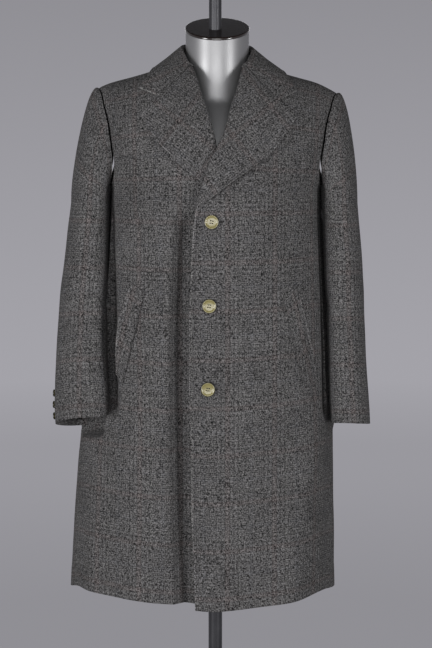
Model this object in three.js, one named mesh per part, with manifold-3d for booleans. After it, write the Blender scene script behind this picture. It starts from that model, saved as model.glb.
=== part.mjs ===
// Wool overcoat, buttoned on a limbless dress form with a pole stand.
// Sizes are in millimetres. Z is the pole's axis, the floor is Z = 0 and the coat's front faces -Y.
// Left and right are the wearer's: the wearer's left is +X, on the right in the photo.
import * as THREE from "three";
import { mergeVertices } from "three/addons/utils/BufferGeometryUtils.js";
import Module from "manifold-3d";

const wasm = await Module();
wasm.setup();

// Driving sizes of the coat
const CLOTH = 3;
const SEAM_GAP = 0.3;
const LAY_GAP = 0.7;
const UNDERARM_Z = 1240;
const ROUNDNESS = 2.4;
const LAPEL_CLOTH = 3.5;
const LAPEL_LIFT = 4;
const PRESS_RELEASE = 150;
const COLLAR_CLOTH = 3.4;

// Driving sizes of the form and its stand
const NECK_RADIUS = 63;
const NECK_X = 4;
const NECK_Y = 4;
const CAP_Z = 1559;
const CAP_TILT = 21;
const CAP_THICK = 5;
const TORSO_BOTTOM = 800;
const POLE_TOP = 1640;
const UPPER_POLE = 12.5;
const LOWER_POLE = 14;
const BASE_RADIUS = 165;
const BASE_THICK = 9;

// Coat below the underarm, by height: reach to the wearer's left and right, depth to the front and back
const SKIRT = [
  { z: 425, left: 243, right: 295, front: 172, back: 165 },
  { z: 550, left: 241, right: 288, front: 171, back: 163 },
  { z: 650, left: 238.5, right: 281, front: 169, back: 160 },
  { z: 750, left: 237.5, right: 271, front: 167, back: 157 },
  { z: 877, left: 229, right: 257, front: 164, back: 152 },
  { z: 1000, left: 220, right: 238, front: 161, back: 147 },
  { z: 1100, left: 213, right: 218, front: 158, back: 146 },
  { z: 1175, left: 209.5, right: 209, front: 156, back: 147 },
  { z: 1240, left: 208, right: 207, front: 152, back: 148 },
];

// Coat above the underarm, t = 0 at the underarm and t = 1 on the shoulder seam
const YOKE = [
  { t: 0, left: 208, right: 207, front: 152, back: 148 },
  { t: 0.1, left: 216, right: 211, front: 150, back: 149 },
  { t: 0.28, left: 228, right: 220, front: 148, back: 149 },
  { t: 0.44, left: 236, right: 227, front: 147, back: 147 },
  { t: 0.62, left: 245, right: 236, front: 146, back: 149 },
  { t: 1, left: 261, right: 250, front: 145, back: 150 },
];

// Height of the shoulder seam, by distance from the middle
const SHOULDER = {
  left: [
    { x: 0, z: 1500 },
    { x: 60, z: 1497 },
    { x: 90, z: 1487 },
    { x: 124, z: 1472 },
    { x: 165, z: 1460 },
    { x: 203, z: 1449 },
    { x: 241, z: 1430 },
    { x: 262, z: 1417 },
  ],
  right: [
    { x: 0, z: 1500 },
    { x: 60, z: 1497 },
    { x: 90, z: 1487 },
    { x: 127, z: 1473 },
    { x: 165, z: 1462 },
    { x: 203, z: 1452 },
    { x: 231, z: 1440 },
    { x: 252, z: 1427 },
  ],
};

// Armhole, as a share of the quarter turn from the middle to the side
const ARMHOLE = [
  { t: 0, turn: 1 },
  { t: 0.02, turn: 0.93 },
  { t: 0.05, turn: 0.84 },
  { t: 0.1, turn: 0.765 },
  { t: 0.2, turn: 0.722 },
  { t: 0.4, turn: 0.714 },
  { t: 0.62, turn: 0.727 },
  { t: 1, turn: 0.727 },
];

// Front edges below the underarm
const EDGE = {
  left: [
    { z: 425, x: -39 },
    { z: 533, x: -42 },
    { z: 615, x: -46 },
    { z: 736, x: -47 },
    { z: 856, x: -50 },
    { z: 976, x: -50 },
    { z: 1094, x: -46 },
    { z: 1180, x: -41 },
    { z: 1207, x: -36 },
    { z: 1240, x: -26 },
  ],
  right: [
    { z: 425, x: 18 },
    { z: 900, x: 24 },
    { z: 1207, x: 22 },
    { z: 1240, x: 17 },
  ],
};

// Roll lines above the underarm, ending at the neck point of the shoulder seam
const ROLL = {
  left: [
    { t: 0, x: -26 },
    { t: 0.044, x: -21 },
    { t: 0.143, x: -9 },
    { t: 0.183, x: 1 },
    { t: 0.289, x: 20 },
    { t: 0.454, x: 35 },
    { t: 0.531, x: 43 },
    { t: 0.775, x: 58 },
    { t: 0.86, x: 68 },
    { t: 1, x: 84 },
  ],
  right: [
    { t: 0, x: 17 },
    { t: 0.1, x: 9 },
    { t: 0.2, x: 1 },
    { t: 0.256, x: -3 },
    { t: 0.426, x: -20 },
    { t: 0.502, x: -28 },
    { t: 0.755, x: -48 },
    { t: 0.86, x: -60 },
    { t: 1, x: -82 },
  ],
};

// Hem height, by turn from the middle of the front (0) over the side (1) to the middle of the back (2)
const HEM = {
  left: [
    { turn: 0, z: 426 },
    { turn: 0.15, z: 433 },
    { turn: 0.45, z: 443 },
    { turn: 0.62, z: 449 },
    { turn: 1, z: 440 },
    { turn: 2, z: 436 },
  ],
  right: [
    { turn: 0, z: 431 },
    { turn: 0.15, z: 440 },
    { turn: 0.4, z: 448 },
    { turn: 0.7, z: 454 },
    { turn: 1, z: 438 },
    { turn: 2, z: 436 },
  ],
};

// Folds of the skirt: where each starts and ends, its half width as a turn and how far it stands out
const FOLDS = [
  { top: 1150, topTurn: -0.27, bottom: 437, bottomTurn: -0.27, width: 0.13, out: 5 },
  { top: 1120, topTurn: -0.12, bottom: 437, bottomTurn: -0.13, width: 0.05, out: -4 },
  { top: 760, topTurn: -0.62, bottom: 437, bottomTurn: -0.58, width: 0.1, out: 6 },
  { top: 900, topTurn: 0.62, bottom: 437, bottomTurn: 0.36, width: 0.11, out: 7 },
  { top: 900, topTurn: 0.86, bottom: 437, bottomTurn: 0.72, width: 0.1, out: -5 },
  { top: 950, topTurn: 1.38, bottom: 437, bottomTurn: 1.34, width: 0.14, out: 8 },
  { top: 950, topTurn: -1.38, bottom: 437, bottomTurn: -1.33, width: 0.14, out: 8 },
  { top: 1000, topTurn: 1.68, bottom: 437, bottomTurn: 1.7, width: 0.11, out: -5 },
  { top: 1000, topTurn: -1.68, bottom: 437, bottomTurn: -1.7, width: 0.11, out: -5 },
];

// Sleeves below the underarm: outer and inner reach, middle and half of the depth
const SLEEVE = {
  left: [
    { z: 779, outer: 308, inner: 229.5, middle: -53, half: 58 },
    { z: 820, outer: 305.5, inner: 227, middle: -50, half: 60 },
    { z: 900, outer: 300.5, inner: 224.5, middle: -40, half: 64 },
    { z: 1000, outer: 296.5, inner: 220.5, middle: -28, half: 70 },
    { z: 1100, outer: 292, inner: 216.5, middle: -15, half: 76 },
    { z: 1215, outer: 283, inner: 212, middle: -4, half: 82 },
  ],
  right: [
    { z: 785, outer: 315.5, inner: 208.5, middle: -75, half: 48 },
    { z: 825, outer: 318, inner: 209.5, middle: -70, half: 50 },
    { z: 900, outer: 315.5, inner: 213, middle: -56, half: 58 },
    { z: 1000, outer: 310.5, inner: 214, middle: -38, half: 67 },
    { z: 1100, outer: 300.5, inner: 212.5, middle: -18, half: 76 },
    { z: 1215, outer: 287, inner: 210.5, middle: -5, half: 82 },
  ],
};
const CUFF_TILT = {
  left: { front: 8, outer: -2 },
  right: { front: 15.5, outer: -5 },
};
// Sleeve seams, in degrees from the outermost line round by the front
const SLEEVE_SEAMS = {
  left: { hind: -45, fore: 150 },
  right: { hind: -25, fore: 150 },
};

// Lapels by row, from the break up to the gorge: a height on the roll line and a point on the outer edge
const LAPEL = {
  left: [
    { rollZ: 1212, edgeX: -26, edgeZ: 1216 },
    { rollZ: 1229, edgeX: -6, edgeZ: 1229 },
    { rollZ: 1247, edgeX: 20, edgeZ: 1249 },
    { rollZ: 1272, edgeX: 51, edgeZ: 1271 },
    { rollZ: 1303, edgeX: 78, edgeZ: 1290 },
    { rollZ: 1325, edgeX: 100, edgeZ: 1306 },
    { rollZ: 1354, edgeX: 123, edgeZ: 1336 },
    { rollZ: 1391, edgeX: 138, edgeZ: 1357 },
    { rollZ: 1418, edgeX: 152, edgeZ: 1377 },
    { rollZ: 1443, edgeX: 135, edgeZ: 1393 },
    { rollZ: 1462, edgeX: 127, edgeZ: 1401 },
    { rollZ: 1479, edgeX: 118.5, edgeZ: 1409.5 },
  ],
  right: [
    { rollZ: 1213, edgeX: 13, edgeZ: 1217 },
    { rollZ: 1238, edgeX: -4, edgeZ: 1236 },
    { rollZ: 1262, edgeX: -23, edgeZ: 1255 },
    { rollZ: 1284, edgeX: -43, edgeZ: 1271 },
    { rollZ: 1308, edgeX: -64, edgeZ: 1287 },
    { rollZ: 1338, edgeX: -84, edgeZ: 1309 },
    { rollZ: 1372, edgeX: -103, edgeZ: 1328 },
    { rollZ: 1402, edgeX: -122, edgeZ: 1355 },
    { rollZ: 1425, edgeX: -139, edgeZ: 1381 },
    { rollZ: 1450, edgeX: -122, edgeZ: 1400 },
    { rollZ: 1465, edgeX: -114, edgeZ: 1409 },
    { rollZ: 1479, edgeX: -105.5, edgeZ: 1418 },
  ],
};

// Collar by row, from the gorge round to the middle of the back: fold, neck seam and outer edge.
// The outer edge is a place on the coat, by distance from the middle and t; back is 1 behind the shoulder seam.
const COLLAR = {
  left: [
    { foldX: 59, foldY: -49, foldZ: 1488, seamX: 55, seamY: -43, seamZ: 1479, edgeX: 149, edgeT: 0.72, back: 0, bulge: 16 },
    { foldX: 66, foldY: -29, foldZ: 1501, seamX: 64, seamY: -27, seamZ: 1484, edgeX: 140, edgeT: 0.84, back: 0, bulge: 14 },
    { foldX: 70, foldY: -14, foldZ: 1510, seamX: 70, seamY: -13, seamZ: 1488, edgeX: 134, edgeT: 0.93, back: 0, bulge: 8 },
    { foldX: 71.5, foldY: 0, foldZ: 1517, seamX: 71.5, seamY: 0, seamZ: 1489, edgeX: 128, edgeT: 1, back: 0, bulge: 2 },
    { foldX: 70.5, foldY: 17, foldZ: 1521, seamX: 70.5, seamY: 16, seamZ: 1490, edgeX: 119, edgeT: 0.93, back: 1, bulge: 6 },
    { foldX: 65, foldY: 34, foldZ: 1525, seamX: 65, seamY: 33, seamZ: 1491, edgeX: 106, edgeT: 0.84, back: 1, bulge: 10 },
    { foldX: 48, foldY: 56, foldZ: 1529, seamX: 48, seamY: 55, seamZ: 1492, edgeX: 78, edgeT: 0.74, back: 1, bulge: 12 },
    { foldX: 24, foldY: 69, foldZ: 1531, seamX: 24, seamY: 68, seamZ: 1492, edgeX: 40, edgeT: 0.69, back: 1, bulge: 12 },
  ],
  right: [
    { foldX: -51, foldY: -49, foldZ: 1489, seamX: -48, seamY: -43, seamZ: 1478, edgeX: -138, edgeT: 0.72, back: 0, bulge: 16 },
    { foldX: -58, foldY: -29, foldZ: 1504, seamX: -56, seamY: -27, seamZ: 1484, edgeX: -128, edgeT: 0.84, back: 0, bulge: 14 },
    { foldX: -62.5, foldY: -14, foldZ: 1514, seamX: -62.5, seamY: -13, seamZ: 1488, edgeX: -122, edgeT: 0.93, back: 0, bulge: 8 },
    { foldX: -64.5, foldY: 0, foldZ: 1521, seamX: -64.5, seamY: 0, seamZ: 1489, edgeX: -116, edgeT: 1, back: 0, bulge: 2 },
    { foldX: -63.5, foldY: 17, foldZ: 1524, seamX: -63.5, seamY: 16, seamZ: 1490, edgeX: -110, edgeT: 0.93, back: 1, bulge: 6 },
    { foldX: -58.5, foldY: 34, foldZ: 1527, seamX: -58.5, seamY: 33, seamZ: 1491, edgeX: -98, edgeT: 0.84, back: 1, bulge: 10 },
    { foldX: -42, foldY: 56, foldZ: 1530, seamX: -42, seamY: 55, seamZ: 1492, edgeX: -74, edgeT: 0.74, back: 1, bulge: 12 },
    { foldX: -18, foldY: 69, foldZ: 1531, seamX: -18, seamY: 68, seamZ: 1492, edgeX: -38, edgeT: 0.69, back: 1, bulge: 12 },
  ],
};
const COLLAR_MIDDLE = {
  foldX: 3, foldY: 73, foldZ: 1532, seamX: 3, seamY: 71, seamZ: 1492, edgeX: 0.5, edgeT: 0.68, back: 1, bulge: 12,
};
const COLLAR_POINT = {
  left: { x: 157, z: 1428 },
  right: { x: -145, z: 1433 },
};

// Welts of the pockets: corners at the front and side edges, top and bottom
const WELT = {
  left: { topX: 132, topZ: 1030, bottomX: 172, bottomZ: 851, acrossX: 25, acrossZ: 24, gape: 2 },
  right: { topX: -135, topZ: 1046, bottomX: -178, bottomZ: 869, acrossX: -25, acrossZ: 17, gape: 7 },
};

const BUTTONS = [
  { x: -7, z: 1182 },
  { x: -11.5, z: 1022 },
  { x: -14, z: 862 },
];
const BUTTON_RADIUS = 14;
const CUFF_BUTTON_RADIUS = 7.5;
const CUFF_BUTTONS = {
  left: { degrees: -30, heights: [845, 825, 805] },
  right: { degrees: -9, heights: [846, 824, 802] },
};

// Torso of the form, by height
const TORSO = [
  { z: 800, wide: 172, front: 108, back: 116 },
  { z: 880, wide: 168, front: 104, back: 112 },
  { z: 1000, wide: 148, front: 98, back: 96 },
  { z: 1120, wide: 165, front: 108, back: 106 },
  { z: 1240, wide: 182, front: 118, back: 116 },
];
const TORSO_YOKE = [
  { t: 0, wide: 182, front: 118, back: 116 },
  { t: 0.5, wide: 192, front: 112, back: 112 },
  { t: 1, wide: 208, front: 100, back: 100 },
];
const TORSO_CLEARANCE = 0.85;
const TORSO_NECK_DROP = 6;
const TORSO_SHOULDER_END = 188;
const TORSO_SHOULDER_DROP = 30;

// Top of the back panels, by distance from the middle: the neckline dips below the shoulder seam
const NECKLINE = [
  { x: 0, t: 0.818 },
  { x: 24, t: 0.834 },
  { x: 50, t: 0.876 },
  { x: 65, t: 0.928 },
  { x: 73, t: 0.962 },
  { x: 86, t: 1 },
];

const QUARTER = Math.PI / 2;
const radians = (degrees) => (degrees * Math.PI) / 180;
const lerp = (a, b, share) => a + (b - a) * share;
const clamp = (value, low, high) => Math.min(Math.max(value, low), high);
const ease = (value) => {
  const share = clamp(value, 0, 1);
  return share * share * (3 - 2 * share);
};

// Slope of a smooth curve through a row of a table, with no overshoot
function slopeAt(table, by, key, i) {
  if (i === 0 || i === table.length - 1) return null;
  const before = (table[i][key] - table[i - 1][key]) / (table[i][by] - table[i - 1][by]);
  const after = (table[i + 1][key] - table[i][key]) / (table[i + 1][by] - table[i][by]);
  if (before * after <= 0) return 0;
  return (2 * before * after) / (before + after);
}

// Reads one column of a table at a place between its rows
function read(table, by, key, place) {
  const last = table.length - 1;
  let i = 0;
  while (i < last - 1 && table[i + 1][by] < place) i += 1;
  const span = table[i + 1][by] - table[i][by];
  const share = clamp((place - table[i][by]) / span, 0, 1);
  const chord = (table[i + 1][key] - table[i][key]) / span;
  const start = slopeAt(table, by, key, i) ?? chord;
  const end = slopeAt(table, by, key, i + 1) ?? chord;
  const s2 = share * share;
  const s3 = s2 * share;
  return (
    table[i][key] * (2 * s3 - 3 * s2 + 1) +
    table[i + 1][key] * (3 * s2 - 2 * s3) +
    start * span * (s3 - 2 * s2 + share) +
    end * span * (s3 - s2)
  );
}

const sideOf = (turn) => (turn < 0 ? "right" : "left");
const signOf = (side) => (side === "left" ? 1 : -1);

// How far the folds push the cloth out at a place on the skirt
function foldOut(turn, z) {
  let out = 0;
  for (const fold of FOLDS) {
    const down = clamp((fold.top - z) / (fold.top - fold.bottom), 0, 1);
    const middle = lerp(fold.topTurn, fold.bottomTurn, down);
    const away = (turn - middle) / fold.width;
    out += fold.out * Math.exp(-away * away) * ease(down * 1.6);
  }
  return out;
}

// Presses the coat's side in where a sleeve hangs against it
function pressedBySleeve(side, x, y, z) {
  const table = SLEEVE[side];
  const place = Math.max(z, table[0].z);
  const outer = read(table, "z", "outer", place);
  const inner = read(table, "z", "inner", place);
  const middle = read(table, "z", "middle", place);
  const half = read(table, "z", "half", place) + 4;
  const centre = (outer + inner) / 2;
  const reach = (outer - inner) / 2 + 4.5;
  const away = (y - middle) / half;
  const limit = Math.abs(away) < 1 ? centre - reach * Math.sqrt(1 - away * away) : centre;
  const below = ease((table[0].z - 16 - z) / 40);
  const held = limit + below * PRESS_RELEASE;
  const own = Math.abs(x);
  const soft = 5;
  const kept = 0.5 * (own + held - Math.sqrt((own - held) * (own - held) + soft * soft));
  return signOf(side) * kept;
}

// A point of the coat's outer face. Below the underarm level is the height less the underarm's,
// above it level runs from 0 to 1 on the shoulder seam. Turn is 0 at the front and 2 at the back.
function coatPoint(turn, level) {
  const side = sideOf(turn);
  const sign = signOf(side);
  const angle = Math.abs(turn) * QUARTER;
  const across = Math.abs(Math.sin(angle)) ** (2 / ROUNDNESS);
  const along = Math.abs(Math.cos(angle)) ** (2 / ROUNDNESS);
  const isFront = Math.abs(turn) <= 1;
  if (level <= 0) {
    const z = UNDERARM_Z + level;
    const depth = isFront ? -read(SKIRT, "z", "front", z) : read(SKIRT, "z", "back", z);
    const out = foldOut(turn, z);
    const x = sign * (read(SKIRT, "z", side, z) + out) * across;
    const y = (depth + (isFront ? -out : out)) * along;
    return new THREE.Vector3(pressedBySleeve(side, x, y, z), y, z);
  }
  const x = sign * read(YOKE, "t", side, level) * across;
  const top = read(SHOULDER[side], "x", "z", Math.abs(x));
  const rise = Math.sin(level * QUARTER);
  const fall = Math.cos(level * QUARTER);
  const z = UNDERARM_Z + (top - UNDERARM_Z) * rise;
  const fullness = lerp(0.5, 0.8, ease((Math.abs(x) - 30) / 90));
  const y = isFront
    ? -read(YOKE, "t", "front", level) * along * fall
    : read(YOKE, "t", "back", level) * along * fall ** fullness;
  const pressed = pressedBySleeve(side, x, y, UNDERARM_Z);
  return new THREE.Vector3(lerp(pressed, x, ease(level / 0.05)), y, z);
}

// The outward direction of the coat's face
function coatNormal(turn, level) {
  const stepTurn = 0.012;
  const stepLevel = level <= 0 ? 6 : 0.02;
  const low = clamp(turn - stepTurn, -2, 2);
  const high = clamp(turn + stepTurn, -2, 2);
  const down = level > 0 ? Math.max(level - stepLevel, 0.001) : level - stepLevel;
  const up = level > 0 ? Math.min(level + stepLevel, 1) : Math.min(level + stepLevel, 0);
  const round = coatPoint(high, level).sub(coatPoint(low, level));
  const rise = coatPoint(turn, up).sub(coatPoint(turn, down));
  return round.cross(rise).normalize();
}

// Turn and level of a place on the front, from its distance from the middle and its height
function levelOf(x, z) {
  if (z <= UNDERARM_Z) return z - UNDERARM_Z;
  const top = read(SHOULDER[sideOf(x)], "x", "z", Math.abs(x));
  return Math.asin(clamp((z - UNDERARM_Z) / (top - UNDERARM_Z), 0, 1)) / QUARTER;
}

function turnOf(x, level) {
  const side = sideOf(x);
  const reach = level <= 0 ? read(SKIRT, "z", side, UNDERARM_Z + level) : read(YOKE, "t", side, level);
  const share = clamp(Math.abs(x) / reach, 0, 1);
  return (Math.sign(x) * Math.asin(share ** (ROUNDNESS / 2))) / QUARTER;
}

// The right front lies under the left one: how far it is set in near the left front's edge
function underlapInset(turn, level) {
  const x = coatPoint(turn, level).x;
  const edge = level <= 0 ? read(EDGE.left, "z", "x", UNDERARM_Z + level) : read(ROLL.left, "t", "x", level);
  const deep = level <= 0 ? lerp(3.7, 11.5, ease((UNDERARM_Z + level - 1140) / 50)) : 11.5;
  const fade = level <= 0 ? 1 : 1 - ease((level - 0.15) / 0.24);
  return deep * fade * ease((x - (edge - 56)) / 46);
}

// The front's own edge or roll line at a height
function rollX(side, z) {
  if (z <= UNDERARM_Z) return read(EDGE[side], "z", "x", z);
  let x = 0;
  for (let i = 0; i < 12; i += 1) x = read(ROLL[side], "t", "x", levelOf(x, z));
  return x;
}

// A point on the front and the same point moved out, for the left front or the right one
function frontPlace(side, turn, level, out) {
  const normal = coatNormal(turn, level);
  const inset = side === "right" ? underlapInset(turn, level) : 0;
  return coatPoint(turn, level).addScaledVector(normal, out - inset);
}

function onFront(side, x, z, out) {
  const level = levelOf(x, z);
  return frontPlace(side, turnOf(x, level), level, out);
}

// Closes loops of points into one solid. Each loop is one section, and the two ends are filled in.
function solidFromLoops(loops) {
  const size = loops[0].length;
  const positions = loops.flat().flatMap((p) => [p.x, p.y, p.z]);
  const faces = [];
  for (let i = 0; i < loops.length - 1; i += 1) {
    for (let j = 0; j < size; j += 1) {
      const a = i * size + j;
      const b = i * size + ((j + 1) % size);
      faces.push([a, b, b + size], [a, b + size, a + size]);
    }
  }
  return { positions, faces, size, count: loops.length };
}

// A piece of cloth from a grid of outer points and a grid of inner points, closed round its rim
function clothFromGrids(outer, inner) {
  const loops = outer.map((row, i) => [...row, ...inner[i].slice().reverse()]);
  const made = solidFromLoops(loops);
  const width = outer[0].length;
  const size = made.size;
  for (const [row, flip] of [[0, true], [made.count - 1, false]]) {
    for (let j = 0; j < width - 1; j += 1) {
      const a = row * size + j;
      const b = row * size + j + 1;
      const c = row * size + (size - 2 - j);
      const d = row * size + (size - 1 - j);
      const quad = [[a, b, c], [a, c, d]];
      for (const [p, q, r] of quad) made.faces.push(flip ? [p, r, q] : [p, q, r]);
    }
  }
  return geometryOf(made.positions, made.faces);
}

// A solid of closed rings, its two ends closed by fans round their middles
function solidFromRings(rings) {
  const made = solidFromLoops(rings);
  const size = made.size;
  for (const [row, flip] of [[0, true], [made.count - 1, false]]) {
    const middle = new THREE.Vector3();
    for (const p of rings[row]) middle.addScaledVector(p, 1 / size);
    const centre = made.positions.length / 3;
    made.positions.push(middle.x, middle.y, middle.z);
    for (let j = 0; j < size; j += 1) {
      const a = row * size + j;
      const b = row * size + ((j + 1) % size);
      made.faces.push(flip ? [b, a, centre] : [a, b, centre]);
    }
  }
  return geometryOf(made.positions, made.faces);
}

// A geometry whose faces point outwards
function geometryOf(positions, faces) {
  const at = (i) => new THREE.Vector3().fromArray(positions, i * 3);
  let volume = 0;
  for (const [a, b, c] of faces) volume += at(a).dot(at(b).cross(at(c)));
  const facing = volume < 0 ? faces.map(([a, b, c]) => [a, c, b]) : faces;
  const geometry = new THREE.BufferGeometry();
  geometry.setAttribute("position", new THREE.Float32BufferAttribute(positions, 3));
  geometry.setIndex(facing.flat());
  const merged = mergeVertices(geometry, 1e-3);
  const kept = [];
  const index = merged.index.array;
  for (let i = 0; i < index.length; i += 3) {
    const [a, b, c] = [index[i], index[i + 1], index[i + 2]];
    if (a !== b && b !== c && a !== c) kept.push(a, b, c);
  }
  merged.setIndex(kept);
  return merged;
}

function toSolid(geometry) {
  const plain = geometry.clone();
  plain.deleteAttribute("normal");
  plain.deleteAttribute("uv");
  const merged = mergeVertices(plain, 1e-3);
  return new wasm.Manifold(
    new wasm.Mesh({
      numProp: 3,
      vertProperties: merged.attributes.position.array,
      triVerts: new Uint32Array(merged.index.array),
    }),
  );
}

function fromSolid(solid) {
  const mesh = solid.getMesh();
  const geometry = new THREE.BufferGeometry();
  geometry.setAttribute("position", new THREE.Float32BufferAttribute(mesh.vertProperties, 3));
  geometry.setIndex([...mesh.triVerts]);
  return geometry;
}

// Levels of the rows of a panel, from the hem to the underarm and from there to the shoulder seam
const SKIRT_ROWS = [0, 0.08, 0.17, 0.26, 0.33, 0.37, 0.405, 0.47, 0.54, 0.61, 0.68, 0.76, 0.84, 0.92, 1];
const YOKE_ROWS = [0.02, 0.05, 0.1, 0.18, 0.27, 0.37, 0.48, 0.6, 0.72, 0.83, 0.92, 1];

function panelRows() {
  return [
    ...SKIRT_ROWS.map((share) => ({ share, level: 0 })),
    ...YOKE_ROWS.map((level) => ({ share: 1, level })),
  ];
}

function levelOnRow(row, side, turn) {
  if (row.level > 0) return row.level;
  const hem = read(HEM[side], "turn", "z", Math.abs(turn));
  return (hem - UNDERARM_Z) * (1 - row.share);
}

// Keeps a panel's edge half a seam gap short of its neighbour
const gapTurn = (reach) => SEAM_GAP / 2 / reach / QUARTER;

function frontPanel(side) {
  const sign = signOf(side);
  const columns = 18;
  const outer = [];
  const inner = [];
  for (const row of panelRows()) {
    const isYoke = row.level > 0;
    const edgeLevel = isYoke ? row.level : levelOnRow(row, side, 0);
    const edgeX = isYoke
      ? read(ROLL[side], "t", "x", row.level)
      : read(EDGE[side], "z", "x", UNDERARM_Z + edgeLevel);
    const first = turnOf(edgeX, edgeLevel);
    const end = isYoke ? read(ARMHOLE, "t", "turn", row.level) : 1;
    const last = sign * (end - gapTurn(210) * (isYoke ? 1.4 : 1.6));
    const outerRow = [];
    const innerRow = [];
    for (let j = 0; j <= columns; j += 1) {
      const turn = lerp(first, last, j / columns);
      const own = levelOnRow(row, turn * sign < 0 ? side : sideOf(turn), turn);
      const level = row.level === 1 ? 1 - 0.0011 : own;
      outerRow.push(frontPlace(side, turn, level, 0));
      innerRow.push(frontPlace(side, turn, level, -CLOTH));
    }
    outer.push(outerRow);
    inner.push(innerRow);
  }
  return clothFromGrids(outer, inner);
}

function backPanel(side) {
  const sign = signOf(side);
  const columns = 12;
  const outer = [];
  const inner = [];
  for (const row of panelRows()) {
    const isYoke = row.level > 0;
    const end = isYoke ? read(ARMHOLE, "t", "turn", row.level) : 1;
    const start = 2 - gapTurn(150) * 1.4;
    const last = isYoke ? 2 - end + gapTurn(210) * 1.4 : 1 + gapTurn(210) * 1.6;
    const outerRow = [];
    const innerRow = [];
    for (let j = 0; j <= columns; j += 1) {
      const turn = sign * lerp(start, last, j / columns);
      const own = levelOnRow(row, side, turn);
      const x = coatPoint(turn, isYoke ? row.level : 0).x;
      const level = isYoke ? Math.min(own * read(NECKLINE, "x", "t", Math.abs(x)), 1 - 0.0013) : own;
      const normal = coatNormal(turn, level);
      outerRow.push(coatPoint(turn, level));
      innerRow.push(coatPoint(turn, level).addScaledVector(normal, -CLOTH));
    }
    outer.push(outerRow);
    inner.push(innerRow);
  }
  return clothFromGrids(outer, inner);
}

// The lapel turns back over the front's edge at the roll line and lies on the front
function lapel(side) {
  const sections = LAPEL[side].map((row, i) => {
    const up = i / (LAPEL[side].length - 1);
    const start = rollX(side, row.rollZ);
    const wide = Math.hypot(row.edgeX - start, row.edgeZ - row.rollZ);
    const place = (along, out) => {
      const share = along / wide;
      const x = lerp(start, row.edgeX, share);
      const z = lerp(row.rollZ, row.edgeZ, share);
      return onFront(side, x, z, out);
    };
    const lift =
      LAPEL_LIFT * Math.sin(Math.PI * clamp(0.12 + 0.8 * up, 0, 1)) * clamp(wide / 60, 0.1, 1) * (side === "right" ? ease((up - 0.25) / 0.3) : 1);
    const clear = LAY_GAP + (side === "right" ? 1.5 * clamp(2.6 - 4 * Math.abs(up - 0.4), 0, 1) : 0);
    const floor = (share) => clear + lift * share * share;
    const shares = [0.04, 0.19, 0.35, 0.51, 0.67, 0.84, 1];
    const roll = [
      place(-0.7, -CLOTH - 0.2),
      place(-2.1, -CLOTH + 0.3),
      place(-3.2, -0.9),
      place(-2.8, 1.8),
      place(-1.2, LAY_GAP + LAPEL_CLOTH - 0.4),
    ];
    const top = shares.map((share) => place(share * wide, floor(share) + LAPEL_CLOTH));
    const under = shares.map((share) => place(share * wide, floor(share)));
    return [...roll, ...top, ...under.reverse(), place(-0.7, LAY_GAP)];
  });
  return capLoops(sections);
}

// Closes the two end sections of a strip of loops with triangles across each loop
function capLoops(sections) {
  const made = solidFromLoops(sections);
  const size = made.size;
  for (const [row, flip] of [[0, true], [made.count - 1, false]]) {
    const points = sections[row];
    const flatX = new THREE.Vector3().subVectors(points[11], points[3]).normalize();
    const side = new THREE.Vector3().subVectors(points[3], points[0]);
    const flatY = side.addScaledVector(flatX, -side.dot(flatX)).normalize();
    const outline = points.map((p) => new THREE.Vector2(p.dot(flatX), p.dot(flatY)));
    const isClockwise = THREE.ShapeUtils.isClockWise(outline);
    for (const [a, b, c] of THREE.ShapeUtils.triangulateShape(outline, [])) {
      const face = [a, b, c].map((k) => row * size + k);
      const turned = flip !== isClockwise;
      made.faces.push(turned ? [face[0], face[2], face[1]] : face);
    }
  }
  return geometryOf(made.positions, made.faces);
}

// The middle surface of the collar by row: up the stand, over the fold and down the fall
function collarMiddle(row) {
  const fold = new THREE.Vector3(row.foldX, row.foldY, row.foldZ);
  const seam = new THREE.Vector3(row.seamX, row.seamY, row.seamZ);
  const turn = turnOf(row.edgeX, row.edgeT);
  const wholeTurn = row.back ? Math.sign(turn) * (2 - Math.abs(turn)) : turn;
  const level = Math.min(row.edgeT, 0.999);
  const edge = coatPoint(wholeTurn, level).addScaledVector(coatNormal(wholeTurn, level), 3.2);
  const outward = new THREE.Vector3(fold.x - NECK_X, fold.y - NECK_Y, 0).normalize();
  const points = [seam, seam.clone().lerp(fold, 0.5), fold.clone().addScaledVector(outward, 0.4)];
  points[2].z -= 6;
  points.push(fold.clone().addScaledVector(outward, 2.4));
  points[3].z -= 1;
  const start = fold.clone().addScaledVector(outward, 6.6);
  start.z -= 4;
  const bulge = outward.clone().add(new THREE.Vector3(0, 0, 1)).normalize();
  for (const share of [0, 0.2, 0.42, 0.64, 0.84, 1]) {
    const p = start.clone().lerp(edge, share);
    points.push(p.addScaledVector(bulge, row.bulge * share * (1 - share)));
  }
  return points;
}

// The end of the collar: along the gorge seam to the notch, then to the collar's point
function collarEnd(side) {
  const sign = signOf(side);
  const gorge = LAPEL[side][LAPEL[side].length - 1];
  const point = COLLAR_POINT[side];
  const start = rollX(side, gorge.rollZ);
  const out = LAY_GAP + LAPEL_CLOTH / 2;
  const along = (share) => {
    const x = lerp(start, gorge.edgeX, share) + sign * 1;
    const z = lerp(gorge.rollZ, gorge.edgeZ, share) + 1;
    return onFront(side, x, z, out + 0.6 + 2 * share);
  };
  const beyond = (share) => {
    const x = lerp(gorge.edgeX, point.x, share);
    const z = lerp(gorge.edgeZ, point.z, share) + 1;
    return onFront(side, x, z, out + 2.6 + 1.5 * share);
  };
  return [
    onFront(side, start - sign * 4.6, gorge.rollZ + 3, -3.6),
    onFront(side, start - sign * 4.4, gorge.rollZ + 3.2, -2),
    onFront(side, start - sign * 3.8, gorge.rollZ + 3.2, 0.2),
    onFront(side, start - sign * 2, gorge.rollZ + 3, 2),
    along(0.03),
    along(0.25),
    along(0.55),
    along(0.97),
    beyond(0.5),
    beyond(1),
  ];
}

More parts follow.
